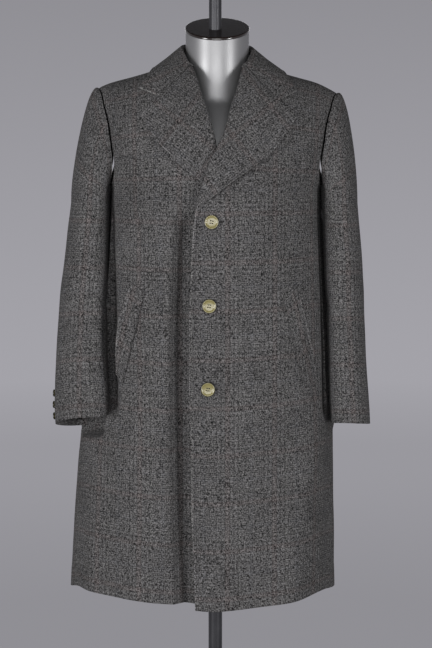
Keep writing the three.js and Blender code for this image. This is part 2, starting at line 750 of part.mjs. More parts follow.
function collar() {
  const rows = [
    collarEnd("left"),
    ...COLLAR.left.map(collarMiddle),
    collarMiddle(COLLAR_MIDDLE),
    ...COLLAR.right.map(collarMiddle).reverse(),
    collarEnd("right"),
  ];
  const last = rows.length - 1;
  const width = rows[0].length - 1;
  const outer = [];
  const inner = [];
  rows.forEach((row, i) => {
    const outerRow = [];
    const innerRow = [];
    row.forEach((p, j) => {
      const along = new THREE.Vector3().subVectors(rows[Math.min(i + 1, last)][j], rows[Math.max(i - 1, 0)][j]);
      const over = new THREE.Vector3().subVectors(row[Math.min(j + 1, width)], row[Math.max(j - 1, 0)]);
      const normal = along.cross(over).normalize();
      outerRow.push(p.clone().addScaledVector(normal, COLLAR_CLOTH / 2));
      innerRow.push(p.clone().addScaledVector(normal, -COLLAR_CLOTH / 2));
    });
    outer.push(outerRow);
    inner.push(innerRow);
  });
  return clothFromGrids(outer, inner);
}

// A point of the sleeve's ring below the underarm; degrees run from the outermost line round by the front
function sleeveRing(side, degrees, z, atCuff) {
  const table = SLEEVE[side];
  const outer = read(table, "z", "outer", z);
  const inner = read(table, "z", "inner", z);
  const middle = read(table, "z", "middle", z);
  const half = read(table, "z", "half", z);
  const angle = radians(degrees);
  const x = (outer + inner) / 2 + ((outer - inner) / 2) * Math.cos(angle);
  const tilt = CUFF_TILT[side].front * Math.sin(angle) + CUFF_TILT[side].outer * Math.cos(angle);
  return new THREE.Vector3(signOf(side) * x, middle - half * Math.sin(angle), z + tilt * atCuff);
}

// A point of the armhole seam, from the shoulder's tip (0 degrees) round by the front
function armholePoint(side, degrees) {
  const sign = signOf(side);
  const height = clamp((1 + Math.cos(radians(degrees))) / 2, 0.0004, 0.9999);
  const level = clamp(Math.asin(height) / QUARTER, 0.004, 0.999);
  const end = read(ARMHOLE, "t", "turn", level);
  const isBack = ((degrees % 360) + 360) % 360 > 180;
  const turn = sign * (isBack ? 2 - end : end);
  return { point: coatPoint(turn, level), normal: coatNormal(turn, level) };
}

const SLEEVE_TOP_ROWS = [0, 0.07, 0.16, 0.28, 0.42, 0.56, 0.7, 0.85];
const SLEEVE_ROWS = [0, 0.15, 0.32, 0.49, 0.66, 0.83, 1];

// A point of the sleeve's outer face: down is 0 to 1 from the armhole to the underarm's level, then to 2 at the cuff
function sleevePoint(side, degrees, down) {
  const sign = signOf(side);
  const table = SLEEVE[side];
  const top = table[table.length - 1].z;
  if (down > 1) {
    const z = lerp(top, table[0].z, down - 1);
    return sleeveRing(side, degrees, z, ease(down - 1));
  }
  const crown = (1 + Math.cos(radians(degrees))) / 2;
  const seam = armholePoint(side, degrees);
  const start = seam.point.clone();
  start.x += sign * lerp(3.1, 1.9, crown);
  const end = sleeveRing(side, degrees, top, 0);
  const leave = new THREE.Vector3(sign * lerp(8, 62, crown), 0, lerp(-30, 42, crown));
  const arrive = new THREE.Vector3(0, 0, lerp(-30, -200, crown));
  const t2 = down * down;
  const t3 = t2 * down;
  return start
    .multiplyScalar(2 * t3 - 3 * t2 + 1)
    .addScaledVector(end, 3 * t2 - 2 * t3)
    .addScaledVector(leave, t3 - 2 * t2 + down)
    .addScaledVector(arrive, t3 - t2);
}

function sleeveNormal(side, degrees, down) {
  const round = sleevePoint(side, degrees + 2, down).sub(sleevePoint(side, degrees - 2, down));
  const low = sleevePoint(side, degrees, Math.min(down + 0.02, 2));
  const high = sleevePoint(side, degrees, Math.max(down - 0.02, 0));
  const own = round.cross(low.sub(high)).normalize();
  if (side === "right") own.negate();
  const share = ease(1 - down / 0.12);
  return own.lerp(armholePoint(side, degrees).normal, share).normalize();
}

const SLEEVE_DOWN = [...SLEEVE_TOP_ROWS, ...SLEEVE_ROWS.map((share) => 1 + share)];
const TOP_SLEEVE_COLUMNS = 14;
const UNDER_SLEEVE_COLUMNS = 11;

function sleevePiece(side, from, to, columns) {
  const outer = [];
  const inner = [];
  for (const down of SLEEVE_DOWN) {
    const outerRow = [];
    const innerRow = [];
    for (let j = 0; j <= columns; j += 1) {
      const degrees = lerp(from + 0.14, to - 0.14, j / columns);
      const p = sleevePoint(side, degrees, down);
      outerRow.push(p);
      innerRow.push(p.clone().addScaledVector(sleeveNormal(side, degrees, down), -CLOTH));
    }
    outer.push(outerRow);
    inner.push(innerRow);
  }
  return clothFromGrids(outer, inner);
}

const topSleeve = (side) => sleevePiece(side, SLEEVE_SEAMS[side].hind, SLEEVE_SEAMS[side].fore, TOP_SLEEVE_COLUMNS);
const underSleeve = (side) => sleevePiece(side, SLEEVE_SEAMS[side].fore, 360 + SLEEVE_SEAMS[side].hind, UNDER_SLEEVE_COLUMNS);

// A point on the flat facets of the top sleeve, between its rows and columns
function onTopSleeve(side, degrees, down) {
  const { hind, fore } = SLEEVE_SEAMS[side];
  const place = ((degrees - hind) / (fore - hind)) * TOP_SLEEVE_COLUMNS;
  const column = Math.floor(place);
  const row = SLEEVE_DOWN.findLastIndex((value) => value <= down);
  const below = (down - SLEEVE_DOWN[row]) / (SLEEVE_DOWN[row + 1] - SLEEVE_DOWN[row]);
  const corner = (i, j) => sleevePoint(side, lerp(hind, fore, j / TOP_SLEEVE_COLUMNS), SLEEVE_DOWN[i]);
  const upper = corner(row, column).lerp(corner(row, column + 1), place - column);
  const lower = corner(row + 1, column).lerp(corner(row + 1, column + 1), place - column);
  return upper.lerp(lower, below);
}

// A welt is a folded strip on the front; its side edge gapes a little
function welt(side) {
  const size = WELT[side];
  const outer = [];
  const inner = [];
  for (let i = 0; i <= 9; i += 1) {
    const down = i / 9;
    const outerRow = [];
    const innerRow = [];
    for (let j = 0; j <= 4; j += 1) {
      const over = j / 4;
      const spread = 1 + size.gape * 0.045 * Math.sin(Math.PI * down);
      const x = lerp(size.topX, size.bottomX, down) + size.acrossX * over * spread;
      const z = lerp(size.topZ, size.bottomZ, down) + size.acrossZ * over;
      const gape = size.gape * Math.sin(Math.PI * down) * over * over;
      outerRow.push(onFront(side, x, z, LAY_GAP + 3 + gape));
      innerRow.push(onFront(side, x, z, LAY_GAP + gape));
    }
    outer.push(outerRow);
    inner.push(innerRow);
  }
  return clothFromGrids(outer, inner);
}

// A button with a raised rim, turned about its own axis
function buttonShape(radius, thick, segments) {
  const profile = [
    [0, 0],
    [radius * 0.78, 0],
    [radius * 0.97, thick * 0.35],
    [radius, thick * 0.6],
    [radius * 0.94, thick],
    [radius * 0.8, thick],
    [radius * 0.62, thick * 0.68],
    [0, thick * 0.62],
  ];
  const shape = new THREE.LatheGeometry(profile.map(([x, y]) => new THREE.Vector2(x, y)), segments);
  return shape.rotateX(QUARTER);
}

function placeButton(shape, point, normal) {
  const turned = new THREE.Quaternion().setFromUnitVectors(new THREE.Vector3(0, 0, 1), normal);
  const matrix = new THREE.Matrix4().compose(point, turned, new THREE.Vector3(1, 1, 1));
  return shape.applyMatrix4(matrix);
}

function frontButton(place) {
  const level = levelOf(place.x, place.z);
  const turn = turnOf(place.x, level);
  const point = frontPlace("left", turn, level, LAY_GAP);
  return placeButton(buttonShape(BUTTON_RADIUS, 4.4, 20), point, coatNormal(turn, level));
}

function cuffButton(side, index) {
  const { degrees, heights } = CUFF_BUTTONS[side];
  const table = SLEEVE[side];
  const top = table[table.length - 1].z;
  const down = 1 + (top - heights[index]) / (top - table[0].z);
  const normal = sleeveNormal(side, degrees, down);
  const point = onTopSleeve(side, degrees, down).addScaledVector(normal, LAY_GAP);
  return placeButton(buttonShape(CUFF_BUTTON_RADIUS, 3.2, 12), point, normal);
}

function cylinder(radius, bottom, top, segments, x, y) {
  return wasm.Manifold.cylinder(top - bottom, radius, radius, segments).translate([x, y, bottom]);
}

// The form: rings up the torso, closed over the shoulders, with a straight neck cut off at a tilt
function torsoRing(level) {
  const ring = [];
  for (let k = 0; k < 40; k += 1) {
    const turn = (k / 40) * 4;
    const angle = turn * QUARTER;
    const across = Math.sign(Math.sin(angle)) * Math.abs(Math.sin(angle)) ** (2 / ROUNDNESS);
    const along = Math.sign(Math.cos(angle)) * Math.abs(Math.cos(angle)) ** (2 / ROUNDNESS);
    const table = level <= 0 ? TORSO : TORSO_YOKE;
    const by = level <= 0 ? "z" : "t";
    const place = level <= 0 ? UNDERARM_Z + level : level;
    const x = read(table, by, "wide", place) * across;
    const depth = read(table, by, along > 0 ? "front" : "back", place);
    const rise = level <= 0 ? 0 : Math.sin(level * QUARTER);
    const fall = level <= 0 ? 1 : Math.cos(level * QUARTER);
    const side = sideOf(x);
    const end = clamp((Math.abs(x) - TORSO_SHOULDER_END) / 20, 0, 1);
    const byNeck = TORSO_NECK_DROP * (1 - ease((Math.abs(x) - 72) / 58));
    const under = CLOTH + TORSO_CLEARANCE + byNeck + TORSO_SHOULDER_DROP * end * end;
    const top = read(SHOULDER[side], "x", "z", Math.abs(x)) - under;
    const z = level <= 0 ? UNDERARM_Z + level : UNDERARM_Z + (top - UNDERARM_Z) * rise;
    ring.push(new THREE.Vector3(x, -depth * along * fall, z));
  }
  return ring;
}

const capNormal = [0, -Math.sin(radians(CAP_TILT)), Math.cos(radians(CAP_TILT))];
const capHeight = NECK_Y * capNormal[1] + CAP_Z * capNormal[2];

function torsoForm() {
  const levels = [];
  for (let i = 0; i <= 8; i += 1) levels.push(lerp(TORSO_BOTTOM - UNDERARM_Z, 0, i / 8));
  for (const level of [0.12, 0.25, 0.38, 0.5, 0.62, 0.74, 0.85, 0.94, 0.985]) levels.push(level);
  const torso = toSolid(solidFromRings(levels.map(torsoRing)));
  const neck = cylinder(NECK_RADIUS, 1380, CAP_Z + 60, 44, NECK_X, NECK_Y)
    .trimByPlane(capNormal.map((n) => -n), -(capHeight - CAP_THICK - SEAM_GAP));
  const root = wasm.Manifold.cylinder(46, NECK_RADIUS + 16, NECK_RADIUS - 0.5, 44)
    .translate([NECK_X, NECK_Y - 6, 1412]);
  const bore = cylinder(UPPER_POLE + 0.4, TORSO_BOTTOM - 5, CAP_Z + 60, 20, 0, 0);
  return fromSolid(torso.add(neck).add(root).subtract(bore));
}

function neckCap() {
  const disc = cylinder(NECK_RADIUS + 0.8, 1400, CAP_Z + 60, 44, NECK_X, NECK_Y)
    .trimByPlane(capNormal.map((n) => -n), -capHeight)
    .trimByPlane(capNormal, capHeight - CAP_THICK);
  const bore = cylinder(UPPER_POLE + 0.4, 1400, CAP_Z + 60, 20, 0, 0);
  return fromSolid(disc.subtract(bore));
}

// A round piece about the pole's axis from its profile of radius and height pairs
function turned(profile, segments) {
  const outline = profile.map(([r, z]) => new THREE.Vector2(r, z));
  return new THREE.LatheGeometry(outline, segments).rotateX(QUARTER);
}

const basePlate = () =>
  turned(
    [
      [0, 0],
      [BASE_RADIUS - 2, 0],
      [BASE_RADIUS, 2],
      [BASE_RADIUS, BASE_THICK - 2],
      [BASE_RADIUS - 3, BASE_THICK],
      [LOWER_POLE + 16, BASE_THICK],
      [LOWER_POLE + 10, BASE_THICK + 5],
      [LOWER_POLE + 8, BASE_THICK + 26],
      [LOWER_POLE + SEAM_GAP, BASE_THICK + 28],
      [LOWER_POLE + SEAM_GAP, BASE_THICK - 3],
      [0, BASE_THICK - 3],
    ],
    32,
  );

const poleLower = () =>
  turned(
    [
      [0, BASE_THICK - 2.7],
      [LOWER_POLE, BASE_THICK - 2.7],
      [LOWER_POLE, TORSO_BOTTOM - 12],
      [0, TORSO_BOTTOM - 12],
    ],
    32,
  );

const poleUpper = () =>
  turned(
    [
      [0, TORSO_BOTTOM - 11.7],
      [UPPER_POLE, TORSO_BOTTOM - 11.7],
      [UPPER_POLE, POLE_TOP],
      [0, POLE_TOP],
    ],
    32,
  );

const poleCollar = () =>
  turned(
    [
      [LOWER_POLE + SEAM_GAP, TORSO_BOTTOM - 32],
      [LOWER_POLE + 9, TORSO_BOTTOM - 32],
      [LOWER_POLE + 12, TORSO_BOTTOM - 29],
      [LOWER_POLE + 12, TORSO_BOTTOM - 8],
      [LOWER_POLE + 30, TORSO_BOTTOM - 6],
      [LOWER_POLE + 30, TORSO_BOTTOM - SEAM_GAP],
      [LOWER_POLE + SEAM_GAP, TORSO_BOTTOM - SEAM_GAP],
      [LOWER_POLE + SEAM_GAP, TORSO_BOTTOM - 32],
    ],
    24,
  );

const poleEndCap = () =>
  turned(
    [
      [0, POLE_TOP + SEAM_GAP],
      [UPPER_POLE + 1, POLE_TOP + SEAM_GAP],
      [UPPER_POLE + 1, POLE_TOP + 8],
      [UPPER_POLE - 2, POLE_TOP + 11],
      [0, POLE_TOP + 12],
    ],
    32,
  );

const LOOKS = {
  wool: new THREE.MeshStandardMaterial({ color: 0x55555a, roughness: 0.95 }),
  horn: new THREE.MeshStandardMaterial({ color: 0xb8ae83, roughness: 0.35 }),
  silver: new THREE.MeshStandardMaterial({ color: 0xc9cbce, roughness: 0.35, metalness: 0.6 }),
  cap: new THREE.MeshStandardMaterial({ color: 0x1d1512, roughness: 0.1 }),
  steel: new THREE.MeshStandardMaterial({ color: 0x3a3a3c, roughness: 0.3, metalness: 0.8 }),
};

const part = new THREE.Group();
part.name = "wool_overcoat_on_dress_form";

function addNode(name, geometry, look) {
  const mesh = new THREE.Mesh(geometry, LOOKS[look].clone());
  mesh.name = name;
  part.add(mesh);
}

for (const side of ["left", "right"]) {
  addNode("front_" + side, frontPanel(side), "wool");
  addNode("back_" + side, backPanel(side), "wool");
  addNode("lapel_" + side, lapel(side), "wool");
  addNode("top_sleeve_" + side, topSleeve(side), "wool");
  addNode("under_sleeve_" + side, underSleeve(side), "wool");
  addNode("welt_" + side, welt(side), "wool");
  for (let i = 0; i < 3; i += 1) {
    addNode("cuff_button_" + side + "_" + (i + 1), cuffButton(side, i), "horn");
  }
}
addNode("collar", collar(), "wool");
BUTTONS.forEach((place, i) => addNode("button_" + (i + 1), frontButton(place), "horn"));
addNode("torso_form", torsoForm(), "silver");
addNode("neck_cap", neckCap(), "cap");
addNode("pole_upper", poleUpper(), "steel");
addNode("pole_lower", poleLower(), "steel");
addNode("pole_collar", poleCollar(), "steel");
addNode("pole_end_cap", poleEndCap(), "steel");
addNode("base_plate", basePlate(), "steel");

export default part;
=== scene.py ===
"""A checked wool overcoat, buttoned on a limbless dress form with a pole stand.

Sizes in the tables and functions are millimetres in the part's frame: Z is the pole's axis, the coat's
front faces -Y and the wearer's left is +X. The meshes are in metres.
"""

import math

import bmesh
import bpy
import numpy as np
from mathutils import Matrix, Vector, noise


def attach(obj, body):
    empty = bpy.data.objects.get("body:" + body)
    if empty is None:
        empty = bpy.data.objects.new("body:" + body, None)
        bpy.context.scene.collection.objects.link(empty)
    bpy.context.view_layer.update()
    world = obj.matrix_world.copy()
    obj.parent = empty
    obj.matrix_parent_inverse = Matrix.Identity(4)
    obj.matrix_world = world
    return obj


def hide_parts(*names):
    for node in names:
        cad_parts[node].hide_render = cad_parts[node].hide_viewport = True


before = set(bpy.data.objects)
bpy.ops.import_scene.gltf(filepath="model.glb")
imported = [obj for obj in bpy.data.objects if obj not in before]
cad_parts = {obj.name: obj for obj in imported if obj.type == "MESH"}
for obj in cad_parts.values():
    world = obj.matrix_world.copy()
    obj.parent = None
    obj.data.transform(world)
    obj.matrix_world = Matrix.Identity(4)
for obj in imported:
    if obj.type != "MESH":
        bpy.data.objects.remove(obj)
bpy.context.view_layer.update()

MM = 0.001
SIDES = ("left", "right")
SIGN = {"left": 1, "right": -1}

# Driving sizes of the coat, as in the part's source, apart from the lapels' lift
CLOTH = 3.0
SEAM_GAP = 0.3
LAY_GAP = 0.7
UNDERARM_Z = 1240
ROUNDNESS = 2.4
LAPEL_CLOTH = 3.5
# The solids' lapel edges lift 4: more lift gives the edge its shadow
LAPEL_LIFT = 7
COLLAR_CLOTH = 3.4
PRESS_RELEASE = 150

# Driving sizes of the form and its stand
NECK_RADIUS = 63
NECK_X = 4
NECK_Y = 4
CAP_Z = 1559
CAP_TILT = math.radians(21)
CAP_THICK = 5
TORSO_BOTTOM = 800
POLE_TOP = 1640
UPPER_POLE = 12.5
LOWER_POLE = 14
BASE_RADIUS = 165
BASE_THICK = 9


def table(columns, *rows):
    """Rows of numbers under named columns."""
    return dict(zip(columns.split(), np.array(rows, float).T))


# Coat below the underarm, by height: reach to the wearer's left and right, depth to the front and back
SKIRT = table(
    "z left right front back",
    (425, 243, 295, 172, 165),
    (550, 241, 288, 171, 163),
    (650, 238.5, 281, 169, 160),
    (750, 237.5, 271, 167, 157),
    (877, 229, 257, 164, 152),
    (1000, 220, 238, 161, 147),
    (1100, 213, 218, 158, 146),
    (1175, 209.5, 209, 156, 147),
    (1240, 208, 207, 152, 148),
)

# Coat above the underarm, t = 0 at the underarm and t = 1 on the shoulder seam
YOKE = table(
    "t left right front back",
    (0, 208, 207, 152, 148),
    (0.1, 216, 211, 150, 149),
    (0.28, 228, 220, 148, 149),
    (0.44, 236, 227, 147, 147),
    (0.62, 245, 236, 146, 149),
    (1, 261, 250, 145, 150),
)

# Height of the shoulder seam, by distance from the middle
SHOULDER = {
    "left": table(
        "x z",
        (0, 1500), (60, 1497), (90, 1487), (124, 1472), (165, 1460), (203, 1449), (241, 1430), (262, 1417),
    ),
    "right": table(
        "x z",
        (0, 1500), (60, 1497), (90, 1487), (127, 1473), (165, 1462), (203, 1452), (231, 1440), (252, 1427),
    ),
}

# Armhole, as a share of the quarter turn from the middle to the side
ARMHOLE = table(
    "t turn",
    (0, 1), (0.02, 0.93), (0.05, 0.84), (0.1, 0.765), (0.2, 0.722), (0.4, 0.714), (0.62, 0.727), (1, 0.727),
)

# Front edges below the underarm
EDGE = {
    "left": table(
        "z x",
        (425, -39), (533, -42), (615, -46), (736, -47), (856, -50), (976, -50), (1094, -46), (1180, -41),
        (1207, -36), (1240, -26),
    ),
    "right": table("z x", (425, 18), (900, 24), (1207, 22), (1240, 17)),
}

# Roll lines above the underarm, ending at the neck point of the shoulder seam
ROLL = {
    "left": table(
        "t x",
        (0, -26), (0.044, -21), (0.143, -9), (0.183, 1), (0.289, 20), (0.454, 35), (0.531, 43),
        (0.775, 58), (0.86, 68), (1, 84),
    ),
    "right": table(
        "t x",
        (0, 17), (0.1, 9), (0.2, 1), (0.256, -3), (0.426, -20), (0.502, -28), (0.755, -48), (0.86, -60), (1, -82),
    ),
}

# Hem height, by turn from the middle of the front (0) over the side (1) to the middle of the back (2)
HEM = {
    "left": table("turn z", (0, 426), (0.15, 433), (0.45, 443), (0.62, 449), (1, 440), (2, 436)),
    "right": table("turn z", (0, 431), (0.15, 440), (0.4, 448), (0.7, 454), (1, 438), (2, 436)),
}

# Folds of the skirt: where each starts and ends, its half width as a turn and how far it stands out
FOLDS = (
    dict(top=1150, top_turn=-0.27, bottom=437, bottom_turn=-0.27, width=0.13, out=5),
    dict(top=1120, top_turn=-0.12, bottom=437, bottom_turn=-0.13, width=0.05, out=-4),
    dict(top=760, top_turn=-0.62, bottom=437, bottom_turn=-0.58, width=0.1, out=6),
    dict(top=900, top_turn=0.62, bottom=437, bottom_turn=0.36, width=0.11, out=7),
    dict(top=900, top_turn=0.86, bottom=437, bottom_turn=0.72, width=0.1, out=-5),
    dict(top=950, top_turn=1.38, bottom=437, bottom_turn=1.34, width=0.14, out=8),
    dict(top=950, top_turn=-1.38, bottom=437, bottom_turn=-1.33, width=0.14, out=8),
    dict(top=1000, top_turn=1.68, bottom=437, bottom_turn=1.7, width=0.11, out=-5),
    dict(top=1000, top_turn=-1.68, bottom=437, bottom_turn=-1.7, width=0.11, out=-5),
)

# Hollows in the fronts beside the sleeves, which the solids don't have: where they start by height
HOLLOW = {
    "left": table("z x", (785, 210), (1000, 206), (1150, 200), (1240, 196)),
    "right": table("z x", (785, 186), (1000, 189), (1150, 194), (1240, 196)),
}
# A hollow reaches back to this Y or by this depth, whichever is less, and down to this height
HOLLOW_Y = -42
HOLLOW_DEEP = 60
HOLLOW_LOW = {"left": 790, "right": 797}

# Sleeves below the underarm: outer and inner reach, middle and half of the depth
SLEEVE = {
    "left": table(
        "z outer inner middle half",
        (779, 308, 229.5, -53, 58),
        (820, 305.5, 227, -50, 60),
        (900, 300.5, 224.5, -40, 64),
        (1000, 296.5, 220.5, -28, 70),
        (1100, 292, 216.5, -15, 76),
        (1215, 283, 212, -4, 82),
    ),
    "right": table(
        "z outer inner middle half",
        (785, 315.5, 208.5, -75, 48),
        (825, 318, 209.5, -70, 50),
        (900, 315.5, 213, -56, 58),
        (1000, 310.5, 214, -38, 67),
        (1100, 300.5, 212.5, -18, 76),
        (1215, 287, 210.5, -5, 82),
    ),
}
# The sleeve's inner front is pressed flatter than an ellipse, whose exponent is 2
SLEEVE_FLATNESS = 4.0
CUFF_TILT = {"left": dict(front=8, outer=-2), "right": dict(front=15.5, outer=-5)}
# Sleeve seams, in degrees from the outermost line round by the front
SLEEVE_SEAMS = {"left": dict(hind=-45, fore=150), "right": dict(hind=-25, fore=150)}

# Lapels by row, from the break up to the gorge: a height on the roll line and a point on the outer edge.
# The second table starts at the lapel's point, where the edge turns a corner.
LAPEL = {
    "left": (
        table(
            "row roll_z edge_x edge_z",
            (0, 1212, -26, 1216),
            (1, 1229, -6, 1229),
            (2, 1247, 20, 1249),
            (3, 1272, 51, 1271),
            (4, 1303, 78, 1290),
            (5, 1325, 100, 1306),
            (6, 1354, 123, 1336),
            (7, 1391, 138, 1357),
            (8, 1418, 152, 1377),
        ),
        table(
            "row roll_z edge_x edge_z",
            (8, 1418, 152, 1377),
            (9, 1443, 135, 1393),
            (10, 1462, 127, 1401),
            (11, 1479, 118.5, 1409.5),
        ),
    ),
    "right": (
        table(
            "row roll_z edge_x edge_z",
            (0, 1213, 13, 1217),
            (1, 1238, -4, 1236),
            (2, 1262, -23, 1255),
            (3, 1284, -43, 1271),
            (4, 1308, -64, 1287),
            (5, 1338, -84, 1309),
            (6, 1372, -103, 1328),
            (7, 1402, -122, 1355),
            (8, 1425, -139, 1381),
        ),
        table(
            "row roll_z edge_x edge_z",
            (8, 1425, -139, 1381),
            (9, 1450, -122, 1400),
            (10, 1465, -114, 1409),
            (11, 1479, -105.5, 1418),
        ),
    ),
}
LAPEL_ROWS = 11
LAPEL_POINT_ROW = 8

# Collar by row, from the gorge round to the middle of the back: fold, neck seam and outer edge.
# The outer edge is a place on the coat, by distance from the middle and t; back is 1 behind the shoulder seam.
COLLAR = {
    "left": table(
        "fold_x fold_y fold_z seam_x seam_y seam_z edge_x edge_t back bulge",
        (59, -49, 1488, 55, -43, 1479, 149, 0.72, 0, 16),
        (66, -29, 1501, 64, -27, 1484, 140, 0.84, 0, 14),
        (70, -14, 1510, 70, -13, 1488, 134, 0.93, 0, 8),
        (71.5, 0, 1517, 71.5, 0, 1489, 128, 1, 0, 2),
        (70.5, 17, 1521, 70.5, 16, 1490, 119, 0.93, 1, 6),
        (65, 34, 1525, 65, 33, 1491, 106, 0.84, 1, 10),
        (48, 56, 1529, 48, 55, 1492, 78, 0.74, 1, 12),
        (24, 69, 1531, 24, 68, 1492, 40, 0.69, 1, 12),
        (3, 73, 1532, 3, 71, 1492, 0.5, 0.68, 1, 12),
    ),
    "right": table(
        "fold_x fold_y fold_z seam_x seam_y seam_z edge_x edge_t back bulge",
        (-51, -49, 1489, -48, -43, 1478, -138, 0.72, 0, 16),
        (-58, -29, 1504, -56, -27, 1484, -128, 0.84, 0, 14),
        (-62.5, -14, 1514, -62.5, -13, 1488, -122, 0.93, 0, 8),
        (-64.5, 0, 1521, -64.5, 0, 1489, -116, 1, 0, 2),
        (-63.5, 17, 1524, -63.5, 16, 1490, -110, 0.93, 1, 6),
        (-58.5, 34, 1527, -58.5, 33, 1491, -98, 0.84, 1, 10),
        (-42, 56, 1530, -42, 55, 1492, -74, 0.74, 1, 12),
        (-18, 69, 1531, -18, 68, 1492, -38, 0.69, 1, 12),
    ),
}
COLLAR_POINT = {"left": (157, 1428), "right": (-145, 1433)}

# Welts of the pockets: corners at the front and side edges, top and bottom
WELT = {
    "left": dict(top_x=132, top_z=1030, bottom_x=172, bottom_z=851, across_x=25, across_z=24, gape=2, foot=1),
    "right": dict(top_x=-135, top_z=1046, bottom_x=-178, bottom_z=869, across_x=-25, across_z=17, gape=7, foot=0.5),
}

BUTTONS = ((-7, 1182), (-11.5, 1022), (-14, 862))
BUTTON_RADIUS = 14
BUTTON_THICK = 4.4
CUFF_BUTTON_RADIUS = 7.5
CUFF_BUTTON_THICK = 3.2
CUFF_BUTTONS = {
    "left": dict(degrees=-30, heights=(845, 825, 805)),
    "right": dict(degrees=-9, heights=(846, 824, 802)),
}

# Torso of the form, by height and then by t over the shoulders
TORSO = table(
    "z wide front back",
    (800, 172, 108, 116),
    (880, 168, 104, 112),
    (1000, 148, 98, 96),
    (1120, 165, 108, 106),
    (1240, 182, 118, 116),
)
TORSO_YOKE = table("t wide front back", (0, 182, 118, 116), (0.5, 192, 112, 112), (1, 208, 100, 100))
TORSO_CLEARANCE = 0.85
TORSO_NECK_DROP = 6
TORSO_SHOULDER_END = 188
TORSO_SHOULDER_DROP = 30
# How hollow the throat is, by distance from the middle: above 1 the chest falls back sooner towards the neck
THROAT = table("x hollow", (0, 1.8), (28, 1.95), (45, 2.8), (66, 3.2), (92, 2.0), (122, 1))

# Top of the back panels, by distance from the middle: the neckline dips below the shoulder seam
NECKLINE = table("x t", (0, 0.818), (24, 0.834), (50, 0.876), (65, 0.928), (73, 0.962), (86, 1))

QUARTER = math.pi / 2


def lerp(a, b, share):
    return a + (b - a) * share


def ease(value):
    share = np.clip(value, 0, 1)
    return share * share * (3 - 2 * share)


def bump(away, width):
    """A smooth hump of height 1 about away = 0."""
    return np.exp(-((away / width) ** 2))


def read(rows, by, column, place):
    """Reads a column at places between its rows, along a smooth curve with no overshoot."""
    keys, values = rows[by], rows[column]
    place = np.clip(place, keys[0], keys[-1])
    spans = np.diff(keys)
    chords = np.diff(values) / spans
    product, total = chords[:-1] * chords[1:], chords[:-1] + chords[1:]
    inner = np.where(product > 0, 2 * product / np.where(total == 0, 1, total), 0)
    slopes = np.concatenate([chords[:1], inner, chords[-1:]])
    i = np.clip(np.searchsorted(keys, place) - 1, 0, len(spans) - 1)
    s = (place - keys[i]) / spans[i]
    return (
        values[i] * (2 * s**3 - 3 * s**2 + 1)
        + values[i + 1] * (3 * s**2 - 2 * s**3)
        + slopes[i] * spans[i] * (s**3 - 2 * s**2 + s)
        + slopes[i + 1] * spans[i] * (s**3 - s**2)
    )


def between(points, places):
    """Points at places between the rows of an array, along a smooth curve through them."""
    chords = np.diff(points, axis=0)
    product, total = chords[:-1] * chords[1:], chords[:-1] + chords[1:]
    inner = np.where(product > 0, 2 * product / np.where(total == 0, 1, total), 0)
    slopes = np.concatenate([chords[:1], inner, chords[-1:]])
    places = np.asarray(places, float)
    i = np.clip(np.floor(places).astype(int), 0, len(points) - 2)
    s = (places - i).reshape((-1,) + (1,) * (points.ndim - 1))
    return (
        points[i] * (2 * s**3 - 3 * s**2 + 1)
        + points[i + 1] * (3 * s**2 - 2 * s**3)
        + slopes[i] * (s**3 - 2 * s**2 + s)
        + slopes[i + 1] * (s**3 - s**2)
    )


def point(x, y, z):
    return np.stack(np.broadcast_arrays(np.asarray(x, float), y, z), axis=-1)


def unit(v):
    return v / np.maximum(np.linalg.norm(v, axis=-1, keepdims=True), 1e-9)


def by_side(turn, function):
    """A value that differs between the two sides of the coat."""
    return np.where(turn < 0, function("right"), function("left"))


def fold_out(turn, z):
    """How far the folds, and the fullness behind the sleeves, push the cloth out at a place on the skirt."""
    out = 0
    for fold in FOLDS:
        down = np.clip((fold["top"] - z) / (fold["top"] - fold["bottom"]), 0, 1)
        middle = lerp(fold["top_turn"], fold["bottom_turn"], down)
        out = out + fold["out"] * bump(turn - middle, fold["width"]) * ease(down * 1.6)
    return out + 17 * bump(np.abs(turn) - 1.19, 0.12) * ease((z - 720) / 60)


def pressed_by_sleeve(side, x, y, z):
    """Presses the coat's side in where a sleeve hangs against it."""
    rows = SLEEVE[side]
    low = rows["z"][0]
    place = np.maximum(z, low)
    outer, inner, middle, half = (read(rows, "z", c, place) for c in ("outer", "inner", "middle", "half"))
    away = np.clip(np.abs(y - middle) / (half + 4), 0, 1)
    limit = (outer + inner) / 2 - ((outer - inner) / 2 + 4.5) * np.sqrt(1 - away**2)
    held = limit + ease((low - 16 - z) / 40) * PRESS_RELEASE
    own = np.abs(x)
    return SIGN[side] * 0.5 * (own + held - np.sqrt((own - held) ** 2 + 25))


